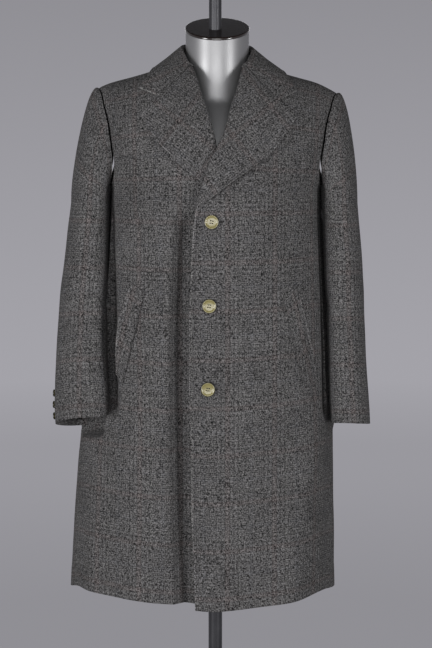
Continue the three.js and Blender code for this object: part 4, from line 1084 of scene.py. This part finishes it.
def lapel(side):
    """The lapel turns back over the front's edge at the roll line and lies on the front."""
    to_point = np.linspace(0, LAPEL_POINT_ROW, 74)
    row = np.concatenate([to_point, np.linspace(LAPEL_POINT_ROW, LAPEL_ROWS, 22)[1:]])[:, None]
    up = row / LAPEL_ROWS
    roll_z, outer_x, outer_z = lapel_row(side, row)
    start = roll_x(side, roll_z)
    wide = np.hypot(outer_x - start, outer_z - roll_z)
    roll = np.array(
        [(-0.7, -CLOTH - 0.2), (-2.1, -CLOTH + 0.3), (-3.2, -0.9), (-2.8, 1.8), (-1.2, LAY_GAP + LAPEL_CLOTH - 0.4)]
    )
    roll = between(roll, np.linspace(0, 4, 11))
    roll_share = roll[None, :, 0] / wide
    in_from_edge = LAPEL_EDGE[::-1] * np.clip(wide / 30, 0.1, 1)
    body = np.linspace(0.04, 1, 22)[None, :-1] * (1 - in_from_edge[:, :1] / wide)
    top_share = np.concatenate([body, 1 - in_from_edge / wide, np.ones_like(wide)], axis=1)
    away = (1 - top_share) * wide
    swell = 1.0 * ease(1 - away / 6) - 0.9 * bump(away - LAPEL_STITCH_IN, 1.2)
    thick = LAPEL_CLOTH + swell * ease(wide / 25)
    thick[:, -1] -= 0.7
    top_out = lapel_floor(side, up, wide, top_share) + thick
    rim_share = np.repeat(1 + 0.5 / wide, 2, axis=1)
    rim_out = lapel_floor(side, up, wide, np.ones_like(wide)) + np.array([[LAPEL_CLOTH * 0.6, LAPEL_CLOTH * 0.3]])
    under_share = np.linspace(1, 0.04, 14)[None, :] * np.ones_like(wide)
    under_out = lapel_floor(side, up, wide, under_share)
    close_share = -0.7 / wide
    share = np.concatenate([roll_share, top_share, rim_share, under_share, close_share, roll_share[:, :1]], axis=1)
    level_with = 0 * wide
    roll_out, close_out = roll[None, :, 1] + level_with, LAY_GAP + level_with
    out = np.concatenate([roll_out, top_out, rim_out, under_out, close_out, roll_out[:, :1]], axis=1)
    x, z = lerp(start, outer_x, share), lerp(roll_z, outer_z, share)
    points = on_front(side, x, z, out)
    lean = SIGN[side] * LAPEL_GRAIN
    across = points[..., 0] * math.cos(lean) + points[..., 2] * math.sin(lean)
    along = points[..., 2] * math.cos(lean) - points[..., 0] * math.sin(lean)
    # Painted highlight along the lapel's outer edge, partly for its rubbed nap
    edge = np.zeros_like(share)
    edge[:, roll.shape[0] : roll.shape[0] + top_share.shape[1]] = 1 - ease(away / 3.4)
    return loft("coat_lapel_" + side, points, across, along, WOOL, edge)


def collar_row(rows, i):
    """The collar's middle surface at one row: up the stand, over the fold and down the fall."""
    value = {key: column[i] for key, column in rows.items()}
    fold = point(value["fold_x"], value["fold_y"], value["fold_z"])
    seam = point(value["seam_x"], value["seam_y"], value["seam_z"])
    turn = turn_of(np.array(value["edge_x"]), np.array(value["edge_t"]))
    if value["back"]:
        turn = np.sign(turn) * (2 - np.abs(turn))
    level = min(value["edge_t"], 0.999)
    edge = coat_point(turn, level) + coat_normal(turn, level) * 3.2
    outward = unit(point(fold[0] - NECK_X, fold[1] - NECK_Y, 0))
    up = point(0, 0, 1)
    points = [seam, lerp(seam, fold, 0.5), fold + outward * 0.4 - up * 6, fold + outward * 2.4 - up]
    start = fold + outward * 6.6 - up * 4
    for share in (0, 0.2, 0.42, 0.64, 0.84, 1):
        points.append(lerp(start, edge, share) + unit(outward + up) * value["bulge"] * share * (1 - share))
    return np.array(points)


def collar_end(side):
    """The collar's front end: along the gorge seam to the notch, then to the collar's point."""
    sign = SIGN[side]
    gorge_z, gorge_x, gorge_edge_z = (float(v) for v in lapel_row(side, np.array(float(LAPEL_ROWS))))
    start = float(roll_x(side, np.array(gorge_z)))
    out = LAY_GAP + LAPEL_CLOTH / 2

    def at(x, z, height):
        return on_front(side, np.array(float(x)), np.array(float(z)), np.array(float(height)))

    points = [
        at(start - sign * 4.6, gorge_z + 3, -3.6),
        at(start - sign * 4.4, gorge_z + 3.2, -2),
        at(start - sign * 3.8, gorge_z + 3.2, 0.2),
        at(start - sign * 2, gorge_z + 3, 2),
    ]
    for share in (0.03, 0.25, 0.55, 0.97):
        x, z = lerp(start, gorge_x, share) + sign, lerp(gorge_z, gorge_edge_z, share) + 1
        points.append(at(x, z, out + 0.6 + 2 * share))
    tip_x, tip_z = COLLAR_POINT[side]
    for share in (0.5, 1):
        x, z = lerp(gorge_x, tip_x, share), lerp(gorge_edge_z, tip_z, share) + 1
        points.append(at(x, z, out + 2.6 + 1.5 * share))
    return np.array(points)


COLLAR_COLUMNS = np.concatenate([np.linspace(0, 8.5, 44), [8.6, 8.67, 8.73, 8.79, 8.85, 8.91, 8.96, 9]])
COLLAR_STITCH_COLUMN = 8.73


def collar_surface():
    """The collar's fine middle surface and its outward directions."""
    left, right = COLLAR["left"], COLLAR["right"]
    rows = [collar_end("left")]
    rows += [collar_row(left, i) for i in range(9)]
    rows += [collar_row(right, i) for i in range(7, -1, -1)]
    rows += [collar_end("right")]
    rows = np.array(rows)
    count = len(rows) - 1
    near = np.array([0, 0.06, 0.12, 0.2, 0.3, 0.42])
    places = np.concatenate([near, np.linspace(0.55, count - 0.55, 150), count - near[::-1]])
    fine = between(rows, places)
    fine = between(fine.transpose(1, 0, 2), COLLAR_COLUMNS).transpose(1, 0, 2)
    along = np.gradient(fine, axis=0)
    over = np.gradient(fine, axis=1)
    normal = unit(np.cross(along, over))
    return fine, normal


def collar():
    fine, normal = collar_surface()
    column = COLLAR_COLUMNS[None, :]
    groove = -0.7 * bump(column - COLLAR_STITCH_COLUMN, 0.06) + 0.5 * ease((column - 8.75) / 0.08)
    points = fine + normal * groove[..., None]
    across = length_along(points, 0)
    over = length_along(points, 1)
    mean = np.broadcast_to(np.mean(across[:, 20:], axis=1)[:, None], across.shape)
    # Painted highlight along the collar's outer edge and its ends, partly for their rubbed nap
    from_end = np.minimum(across - across[:1], across[-1:] - across)
    end = (1 - ease(from_end / 3.4)) * ease((column - 6.8) / 0.4)
    edge = np.maximum(ease((column - 8.84) / 0.1), end)
    return cloth("coat_collar", points, mean, over, WOOL, normal, edge, wall=COLLAR_CLOTH, offset=0)


def sleeve_columns(start, end, count):
    near = np.array([0, 0.010, 0.022, 0.04])
    return lerp(start, end, np.concatenate([near, np.linspace(0.06, 0.94, count), 1 - near[::-1]]))


SLEEVE_ROWS_TOP = 50
SLEEVE_ROWS_ARM = 88

# Soft creases of a hanging sleeve: where each lies, how wide and long it is, and how deep
SLEEVE_CREASES = (
    dict(degrees=120, down=1.42, lean=0.0016, wide=0.035, long=42, out=-1.8),
    dict(degrees=95, down=1.52, lean=-0.0018, wide=0.04, long=40, out=-1.6),
    dict(degrees=200, down=1.5, lean=0.0015, wide=0.04, long=50, out=-2.2),
    dict(degrees=-30, down=1.36, lean=0.001, wide=0.06, long=45, out=1.2),
)


def sleeve_crease(degrees, down):
    out = 0
    for crease in SLEEVE_CREASES:
        aside = np.mod(degrees - crease["degrees"] + 180, 360) - 180
        middle = crease["down"] + crease["lean"] * aside
        out = out + crease["out"] * bump(down - middle, crease["wide"]) * bump(aside, crease["long"])
    return out


def sleeve_piece(name, side, start, end, count):
    degrees = sleeve_columns(start + 0.14, end - 0.14, count)[None, :]
    first = np.array([0, 0.006, 0.014, 0.025])
    top = np.concatenate([first, np.linspace(0.04, 1, SLEEVE_ROWS_TOP)])
    down = np.concatenate([top, np.linspace(1, 2, SLEEVE_ROWS_ARM)[1:]])[::-1, None]
    place = sleeve_point(side, degrees, down)
    to_seam = np.minimum(
        np.linalg.norm(place - place[:, :1], axis=-1), np.linalg.norm(place - place[:, -1:], axis=-1)
    )
    out = seam_press(to_seam) + sleeve_crease(degrees, down)
    degrees, down = np.broadcast_arrays(degrees, down)
    points = on_sleeve(side, degrees, down, out)
    normal = sleeve_normal(side, degrees, down)
    middle = place.shape[1] // 2
    across = length_along(points, 1, middle)
    along = np.broadcast_to(np.mean(length_along(points, 0), axis=1)[:, None], across.shape)
    return cloth(name, points, across, along, WOOL, normal)


def welt_place(side, down, over, out):
    """A place on a pocket's welt, a folded strip whose side edge gapes a little."""
    size = WELT[side]
    spread = lerp(1, size["foot"], down) + size["gape"] * 0.045 * np.sin(math.pi * down)
    x = lerp(size["top_x"], size["bottom_x"], down) + size["across_x"] * over * spread
    z = lerp(size["top_z"], size["bottom_z"], down) + size["across_z"] * over
    gape = size["gape"] * np.sin(math.pi * down) * over**2
    return on_front(side, x, z, LAY_GAP + gape + out)


def welt(side):
    down = np.concatenate([[0, 0.012, 0.024, 0.036], np.linspace(0.06, 0.94, 40), [0.964, 0.976, 0.988, 1]])
    over = np.concatenate([[0, 0.05, 0.1, 0.15], np.linspace(0.22, 0.8, 8), [0.86, 0.9, 0.94, 0.97, 1]])
    down, over = np.broadcast_arrays(down[:, None], over[None, :])
    ends = np.minimum(down, 1 - down) * 185
    groove = -0.7 * (bump(ends - 5, 1.6) + bump((1 - over) * 30 - 4.5, 1.3))
    points = welt_place(side, down, over, 3 + groove)
    level = level_of(points[..., 0], points[..., 2])
    normal = coat_normal(turn_of(points[..., 0], level), level)
    across, along = length_along(points, 1), length_along(points, 0)
    # Painted highlight along the welt's edges, partly for their rubbed nap
    edge = 1 - ease(np.minimum(ends, (1 - over) * 30) / 3)
    return cloth("coat_welt_" + side, points, across, along, WOOL, normal, edge)


for side in SIDES:
    declare(front_panel(side), "coat_wool", "front_" + side)
    declare(back_panel(side), "coat_wool", "back_" + side)
    declare(lapel(side), "coat_wool", "lapel_" + side)
    seams = SLEEVE_SEAMS[side]
    top = sleeve_piece("coat_top_sleeve_" + side, side, seams["hind"], seams["fore"], 44)
    under = sleeve_piece("coat_under_sleeve_" + side, side, seams["fore"], 360 + seams["hind"], 34)
    declare(top, "coat_wool", "top_sleeve_" + side)
    declare(under, "coat_wool", "under_sleeve_" + side)
    declare(welt(side), "coat_wool", "welt_" + side)
declare(collar(), "coat_wool", "collar")


# ---- Stitching ----


def stitching(name, paths, material=THREAD_GREY, **how):
    bm = bmesh.new()
    for path, normals in paths:
        add_stitches(bm, path, normals, **how)
    return declare(make_object(name, bm, material), "coat_wool")


def front_edge_path(side):
    z = np.linspace(read(HEM[side], "turn", "z", 0) + 8, 1200, 160)
    x = read(EDGE[side], "z", "x", z) + SIGN[side] * STITCH_IN
    level = level_of(x, z)
    path = front_place(side, turn_of(x, level), level, -0.15 + 0 * x)
    return path, coat_normal(turn_of(x, level), level)


def lapel_edge_path(side):
    row = np.linspace(0.6, LAPEL_ROWS - 0.15, 220)
    roll_z, outer_x, outer_z = lapel_row(side, row)
    wide = np.hypot(outer_x - roll_x(side, roll_z), outer_z - roll_z)
    share = 1 - LAPEL_STITCH_IN * np.clip(wide / 30, 0.1, 1) / wide
    path = lapel_place(side, row, share, LAPEL_CLOTH - 0.3)
    level = level_of(path[:, 0], path[:, 2])
    return path, coat_normal(turn_of(path[:, 0], level), level)


def collar_edge_path():
    fine, normal = collar_surface()
    column = int(np.abs(COLLAR_COLUMNS - COLLAR_STITCH_COLUMN).argmin())
    way = np.sign(normal[len(normal) // 2, column, 2])
    return fine[2:-2, column] + way * normal[2:-2, column] * (COLLAR_CLOTH / 2 - 0.1), way * normal[2:-2, column]


def welt_path(side):
    down = np.linspace(0.03, 0.97, 60)
    path = welt_place(side, down, 0.85 + 0 * down, 2.7)
    level = level_of(path[:, 0], path[:, 2])
    return path, coat_normal(turn_of(path[:, 0], level), level)


sewn = {
    "front": stitching("stitching_front_edge", [front_edge_path("left")]),
    "collar": stitching("stitching_collar", [collar_edge_path()]),
}
for side in SIDES:
    sewn["lapel", side] = stitching("stitching_lapel_" + side, [lapel_edge_path(side)])
    sewn["welt", side] = stitching("stitching_welt_" + side, [welt_path(side)])


# ---- Buttons ----


def button_profile(radius, thick):
    """Half the section of a button: domed back, rolled rim and sunken middle."""
    return [
        (0, 0),
        (radius * 0.70, 0),
        (radius * 0.88, thick * 0.14),
        (radius * 0.97, thick * 0.34),
        (radius, thick * 0.58),
        (radius * 0.985, thick * 0.8),
        (radius * 0.94, thick * 0.95),
        (radius * 0.88, thick),
        (radius * 0.81, thick * 0.96),
        (radius * 0.75, thick * 0.84),
        (radius * 0.69, thick * 0.72),
        (radius * 0.60, thick * 0.66),
        (radius * 0.3, thick * 0.62),
        (0, thick * 0.61),
    ]


def button(name, radius, thick, place, normal, spin, nodes):
    """A four-hole button with its thread, sewn to a point of the coat."""
    bm = turn_profile(button_profile(radius, thick), 64)
    holes = bmesh.new()
    apart, hole = radius * 0.17, radius * 0.085
    corners = [(spin + quarter * QUARTER) for quarter in range(4)]
    for angle in corners:
        where = Vector((math.cos(angle) * apart * 1.41, math.sin(angle) * apart * 1.41, thick / 2)) * MM
        bmesh.ops.create_cone(
            holes, cap_ends=True, segments=16, radius1=hole * MM, radius2=hole * MM, depth=thick * 3 * MM,
            matrix=Matrix.Translation(where),
        )
    piece = make_object(name, bm, HORN)
    cutter = make_object(name + "_holes", holes, HORN)
    cut = piece.modifiers.new("holes", "BOOLEAN")
    cut.operation = "DIFFERENCE"
    cut.object = cutter
    cut.solver = "EXACT"
    bake(piece, sharp=35)
    bpy.data.objects.remove(cutter)
    done = bmesh.new()
    done.from_mesh(piece.data)
    grain = done.loops.layers.uv.new("weave")
    for face in done.faces:
        for loop in face.loops:
            loop[grain].uv = (loop.vert.co.x / radius / MM, loop.vert.co.y / radius / MM)
    lay_on(done, place, normal)
    done.to_mesh(piece.data)
    done.free()

    sewing = bmesh.new()
    for pair in ((0, 1), (3, 2)):
        ends = [
            np.array([math.cos(corners[k]) * apart * 1.41, math.sin(corners[k]) * apart * 1.41, thick * 0.66])
            for k in pair
        ]
        for lift, shift in ((0.0, 0.16), (0.0, -0.16), (0.22, 0)):
            aside = np.array([-(ends[1] - ends[0])[1], (ends[1] - ends[0])[0], 0])
            aside = aside / np.linalg.norm(aside) * shift * radius / 14
            path = np.linspace(ends[0], ends[1], 5) + aside + np.array([0, 0, lift])
            reach = float(np.linalg.norm(ends[1] - ends[0]))
            add_stitches(
                sewing, path, np.tile([0.0, 0.0, 1.0], (5, 1)), pitch=reach * 2, length=reach * 1.1, thick=0.075 * radius
            )
    lay_on(sewing, place, normal)
    shank = bmesh.new()
    bmesh.ops.create_cone(
        shank, cap_ends=True, segments=16, radius1=radius * 0.26 * MM, radius2=radius * 0.22 * MM, depth=1.4 * MM,
        matrix=Matrix.Translation((0, 0, -0.3 * MM)),
    )
    lay_on(shank, place, normal)
    thread = declare(make_object(name + "_thread", sewing, THREAD_DARK), "coat_wool")
    stem = declare(make_object(name + "_shank", shank, THREAD_DARK), "coat_wool")
    declare(piece, "button_horn", *nodes)
    return piece, thread, stem


def buttonhole(name, x, z):
    """A worked buttonhole: a slit with purl stitches round it, its inner end past the button's rim."""
    near, far, half = x - 3, x + 19.5, 0.9
    straight = np.linspace(near, far, 40)
    round_end = np.linspace(-QUARTER, QUARTER, 9)
    outline = np.concatenate(
        [
            np.stack([straight, np.full(40, z - half)], axis=1),
            np.stack([far + half * np.cos(round_end), z + half * np.sin(round_end)], axis=1),
            np.stack([straight[::-1], np.full(40, z + half)], axis=1),
        ]
    )
    level = level_of(outline[:, 0], outline[:, 1])
    turn = turn_of(outline[:, 0], level)
    path, normals = front_place("left", turn, level, 0.15 + 0 * turn), coat_normal(turn, level)
    # The stitches use the near-black button thread: partly the thread's own colour, partly painted shade in the
    # slit
    return stitching(name, [(path, normals)], THREAD_DARK, pitch=0.75, length=2.0, thick=0.6, turned=True)


for number, (x, z) in enumerate(BUTTONS, start=1):
    level = level_of(np.array(x), np.array(z))
    turn = turn_of(np.array(x), level)
    place = front_place("left", turn, level, np.array(LAY_GAP))
    node = f"button_{number}"
    button("coat_button_%d" % number, BUTTON_RADIUS, BUTTON_THICK, place, coat_normal(turn, level), 0.6, [node])
    buttonhole("buttonhole_%d" % number, x, z)

for side in SIDES:
    size = CUFF_BUTTONS[side]
    cuff, top = SLEEVE[side]["z"][0], SLEEVE[side]["z"][-1]
    for number, height in enumerate(size["heights"], start=1):
        down = np.array(1 + (top - height) / (top - cuff))
        degrees = np.array(float(size["degrees"]))
        place = on_sleeve(side, degrees, down, np.array(LAY_GAP))
        name = f"cuff_button_{side}_{number}"
        normal = sleeve_normal(side, degrees, down)
        button("coat_" + name, CUFF_BUTTON_RADIUS, CUFF_BUTTON_THICK, place, normal, 0.8, [name])


# ---- The form and its stand ----


def torso_point(turn, level):
    """A point of the form: level is as on the coat, turn runs once round from 0 to 4."""
    angle = turn * QUARTER
    across = np.sign(np.sin(angle)) * np.abs(np.sin(angle)) ** (2 / ROUNDNESS)
    along = np.sign(np.cos(angle)) * np.abs(np.cos(angle)) ** (2 / ROUNDNESS)
    z = UNDERARM_Z + np.minimum(level, 0)
    t = np.clip(level, 0, 1)
    below = level <= 0

    def size(column):
        return np.where(below, read(TORSO, "z", column, z), read(TORSO_YOKE, "t", column, t))

    x = size("wide") * across
    depth = np.where(along > 0, size("front"), size("back"))
    end = np.clip((np.abs(x) - TORSO_SHOULDER_END) / 20, 0, 1)
    by_neck = TORSO_NECK_DROP * (1 - ease((np.abs(x) - 72) / 58))
    under = CLOTH + TORSO_CLEARANCE + by_neck + TORSO_SHOULDER_DROP * end**2
    top = by_side(x, lambda side: read(SHOULDER[side], "x", "z", np.abs(x))) - under
    rise = np.where(below, 0, np.sin(t * QUARTER))
    hollow = np.where(along > 0, read(THROAT, "x", "hollow", np.abs(x)), 1)
    fall = np.where(below, 1, np.maximum(np.cos(t * QUARTER), 0) ** hollow)
    return point(x, -depth * along * fall, np.where(below, z, UNDERARM_Z + (top - UNDERARM_Z) * rise))


def torso_form():
    """A moulded torso, closed over the shoulders, that flows into a straight neck cut off at a tilt."""
    levels = np.concatenate([np.linspace(TORSO_BOTTOM - UNDERARM_Z, 0, 70), np.linspace(0, 0.985, 60)[1:]])
    turn = np.linspace(0, 4, 121)[None, :]
    turn, level = np.broadcast_arrays(turn, levels[:, None])
    bm = grid(121, len(levels))
    put(bm, torso_point(turn, level))
    bmesh.ops.remove_doubles(bm, verts=bm.verts, dist=0.05 * MM)
    bmesh.ops.holes_fill(bm, edges=[e for e in bm.edges if e.is_boundary], sides=0)
    neck = turn_profile(
        [(0, 1370), (NECK_RADIUS - 12, 1370), (NECK_RADIUS + 1, 1392), (NECK_RADIUS + 3, 1410),
         (NECK_RADIUS + 2, 1430), (NECK_RADIUS + 0.6, 1448), (NECK_RADIUS, 1468), (NECK_RADIUS, CAP_Z + 50),
         (0, CAP_Z + 50)],
        96,
    )
    bmesh.ops.translate(neck, verts=neck.verts, vec=(NECK_X * MM, NECK_Y * MM, 0))
    spare = bpy.data.meshes.new("neck")
    neck.to_mesh(spare)
    neck.free()
    bm.from_mesh(spare)
    bpy.data.meshes.remove(spare)
    piece = make_object("dress_form_torso", bm, SILVER)
    whole = piece.modifiers.new("whole", "REMESH")
    whole.mode = "VOXEL"
    whole.voxel_size = 3.6 * MM
    smooth = piece.modifiers.new("smooth", "SMOOTH")
    smooth.factor = 0.5
    smooth.iterations = 22
    bake(piece)
    done = bmesh.new()
    done.from_mesh(piece.data)
    tilt = Vector((0, -math.sin(CAP_TILT), math.cos(CAP_TILT)))
    cut_at = Vector((NECK_X, NECK_Y, CAP_Z)) * MM - tilt * (CAP_THICK + SEAM_GAP) * MM
    cut = bmesh.ops.bisect_plane(
        done, geom=done.verts[:] + done.edges[:] + done.faces[:], plane_co=cut_at, plane_no=tilt, clear_outer=True
    )
    rim = [e for e in cut["geom_cut"] if isinstance(e, bmesh.types.BMEdge)]
    bmesh.ops.holes_fill(done, edges=rim, sides=0)
    done.to_mesh(piece.data)
    done.free()
    piece.data.shade_smooth()
    piece.data.set_sharp_from_angle(angle=math.radians(50))
    return piece


def neck_cap():
    """A lacquered disc with a rounded rim: a slice of the neck's own cylinder, cut at the tilt."""
    radius = NECK_RADIUS + 0.8
    rim = [(radius - 1.6, CAP_THICK), (radius - 0.5, CAP_THICK - 0.5), (radius, CAP_THICK - 1.6), (radius, 1.6),
           (radius - 0.5, 0.5), (radius - 1.6, 0)]
    flat = [(20, CAP_THICK), (radius - 4, CAP_THICK), (radius - 2, CAP_THICK)]
    profile = [(0, CAP_THICK)] + flat + rim + [(radius - 2, 0), (0, 0)]
    bm = turn_profile(profile, 128)
    for vert in bm.verts:
        rise = (CAP_Z - CAP_THICK / math.cos(CAP_TILT)) * MM
        vert.co = (
            vert.co.x + NECK_X * MM,
            vert.co.y + NECK_Y * MM,
            rise + vert.co.z / math.cos(CAP_TILT) + vert.co.y * math.tan(CAP_TILT),
        )
    return bake(make_object("neck_cap_disc", bm, CAP), sharp=40)


def turned_piece(name, profile, steps=96):
    return bake(make_object(name, turn_profile(profile, steps), STEEL), sharp=30)


torso = declare(torso_form(), "form_silver", "torso_form")
declare(neck_cap(), "cap_gloss", "neck_cap")
STAND = {
    "base_plate": [
        (0, 0), (BASE_RADIUS - 2, 0), (BASE_RADIUS - 0.6, 0.6), (BASE_RADIUS, 2), (BASE_RADIUS, BASE_THICK - 3),
        (BASE_RADIUS - 1, BASE_THICK - 1), (BASE_RADIUS - 3, BASE_THICK), (LOWER_POLE + 16, BASE_THICK),
        (LOWER_POLE + 12, BASE_THICK + 1.5), (LOWER_POLE + 10, BASE_THICK + 5), (LOWER_POLE + 8, BASE_THICK + 25),
        (LOWER_POLE + 6.5, BASE_THICK + 28), (LOWER_POLE + SEAM_GAP, BASE_THICK + 28),
        (LOWER_POLE + SEAM_GAP, BASE_THICK - 3), (0, BASE_THICK - 3),
    ],
    "pole_lower": [
        (0, BASE_THICK - 2.7), (LOWER_POLE, BASE_THICK - 2.7), (LOWER_POLE, TORSO_BOTTOM - 13),
        (LOWER_POLE - 1, TORSO_BOTTOM - 12), (0, TORSO_BOTTOM - 12),
    ],
    "pole_upper": [
        (0, TORSO_BOTTOM - 11.7), (UPPER_POLE, TORSO_BOTTOM - 11.7), (UPPER_POLE, POLE_TOP), (0, POLE_TOP),
    ],
    "pole_collar": [
        (LOWER_POLE + SEAM_GAP, TORSO_BOTTOM - 32), (LOWER_POLE + 9, TORSO_BOTTOM - 32),
        (LOWER_POLE + 11, TORSO_BOTTOM - 31), (LOWER_POLE + 12, TORSO_BOTTOM - 29),
        (LOWER_POLE + 12, TORSO_BOTTOM - 8), (LOWER_POLE + 30, TORSO_BOTTOM - 6),
        (LOWER_POLE + 30, TORSO_BOTTOM - SEAM_GAP), (LOWER_POLE + SEAM_GAP, TORSO_BOTTOM - SEAM_GAP),
        (LOWER_POLE + SEAM_GAP, TORSO_BOTTOM - 32),
    ],
    "pole_end_cap": [
        (0, POLE_TOP + SEAM_GAP), (UPPER_POLE + 1, POLE_TOP + SEAM_GAP), (UPPER_POLE + 1, POLE_TOP + 8),
        (UPPER_POLE + 0.2, POLE_TOP + 10), (UPPER_POLE - 2, POLE_TOP + 11), (0, POLE_TOP + 12),
    ],
}
for node, profile in STAND.items():
    declare(turned_piece("stand_" + node, profile), "stand_steel", node)


# ---- Studio ----

BACKDROP_RADIUS = 10.0
COVE_RADIUS = 3.0
WALL_HEIGHT = 9.0


def studio_paper():
    """Matt grey studio paper, evenly lit: part of its light is a painted glow of its own, so that it stays even all
    round.
    """
    material, tree, surface = new_material("studio_paper_grey")
    place = add(tree, "ShaderNodeTexCoord", out="Object")
    fibre = add(tree, "ShaderNodeTexNoise", {"Vector": place, "Scale": 300.0, "Detail": 2.0})
    shade = mix(tree, fibre, colour("#565559"), colour("#59585c"))
    tree.links.new(shade, surface.inputs["Base Color"])
    surface.inputs["Roughness"].default_value = 0.95
    surface.inputs["Specular IOR Level"].default_value = 0.05
    # The painted glow fades towards the top of the wall, a painted darkening there, and near the middle of the
    # floor, where the lamps light it
    apart = add(tree, "ShaderNodeSeparateXYZ", {0: place}, out=2)
    high = add(tree, "ShaderNodeMapRange", {0: apart, 1: 0.0, 2: 3.0, 3: 1.0, 4: 0.7})
    flat = add(tree, "ShaderNodeVectorMath", {0: place, 1: (1, 1, 0)}, operation="MULTIPLY")
    far = add(tree, "ShaderNodeVectorMath", {0: flat}, operation="LENGTH", out="Value")
    far = add(tree, "ShaderNodeMapRange", {0: far, 1: 1.5, 2: 6.0, 3: 0.72, 4: 1.04})
    glow = add(tree, "ShaderNodeMath", {0: high, 1: far}, operation="MULTIPLY")
    surface.inputs["Emission Color"].default_value = colour("#9f9ea4")
    tree.links.new(glow, surface.inputs["Emission Strength"])
    return material


def backdrop():
    profile = [(0, 0)] + [(r, 0) for r in np.linspace(0.5, BACKDROP_RADIUS - COVE_RADIUS, 12)]
    for angle in np.linspace(0, QUARTER, 14)[1:]:
        profile.append(
            (BACKDROP_RADIUS - COVE_RADIUS + COVE_RADIUS * math.sin(angle), COVE_RADIUS * (1 - math.cos(angle)))
        )
    profile.append((BACKDROP_RADIUS, WALL_HEIGHT))
    bm = turn_profile([(r / MM, z / MM) for r, z in profile], 96)
    floor = make_object("studio_floor", bm, studio_paper())
    floor.visible_diffuse = False


def area_light(name, place, aim, size, power, tint):
    data = bpy.data.lights.new(name, "AREA")
    data.shape = "RECTANGLE"
    data.size, data.size_y = size
    data.energy = power
    data.color = colour(tint)[:3]
    light = bpy.data.objects.new(name, data)
    light.location = place
    light.rotation_euler = (Vector(aim) - Vector(place)).to_track_quat("-Z", "Y").to_euler()
    bpy.context.scene.collection.objects.link(light)


backdrop()
CHEST = (0, 0, 1.1)
WAIST = (0, 0, 0.95)
area_light("softbox_left", (-2.7, -2.6, 0.95), WAIST, (1.1, 1.7), 72, "#ffffff")
area_light("softbox_right", (2.7, -2.6, 0.95), WAIST, (0.7, 1.7), 52, "#ffffff")
area_light("softbox_front", (-0.2, -3.7, 1.25), CHEST, (2.2, 1.4), 46, "#ffffff")
area_light("softbox_high", (0, -2.9, 3.0), (0, 0, 1.35), (0.8, 0.6), 4, "#ffffff")
area_light("back_fill", (0, 3.4, 2.0), CHEST, (2.0, 2.0), 16, "#ffffff")

scene = bpy.context.scene
world = bpy.data.worlds.new("studio")
world.use_nodes = True
world.node_tree.nodes["Background"].inputs["Color"].default_value = colour("#c8c8cc")
world.node_tree.nodes["Background"].inputs["Strength"].default_value = 0.04
scene.world = world
scene.view_settings.view_transform = "Standard"

# The photograph's view: its long side spans 36 mm of sensor, and a pixel is 1/1600 of the distance
CAMERA_PLACE = (1.4 * MM, -3200 * MM, 1318 * MM)
CAMERA_PITCH = math.radians(90 - 6.2)
camera_data = bpy.data.cameras.new("camera")
camera_data.lens = 36 * 1600 / 648
camera = bpy.data.objects.new("camera", camera_data)
camera.location = CAMERA_PLACE
camera.rotation_euler = (CAMERA_PITCH, 0, 0)
scene.collection.objects.link(camera)
scene.camera = camera

bpy.context.view_layer.update()
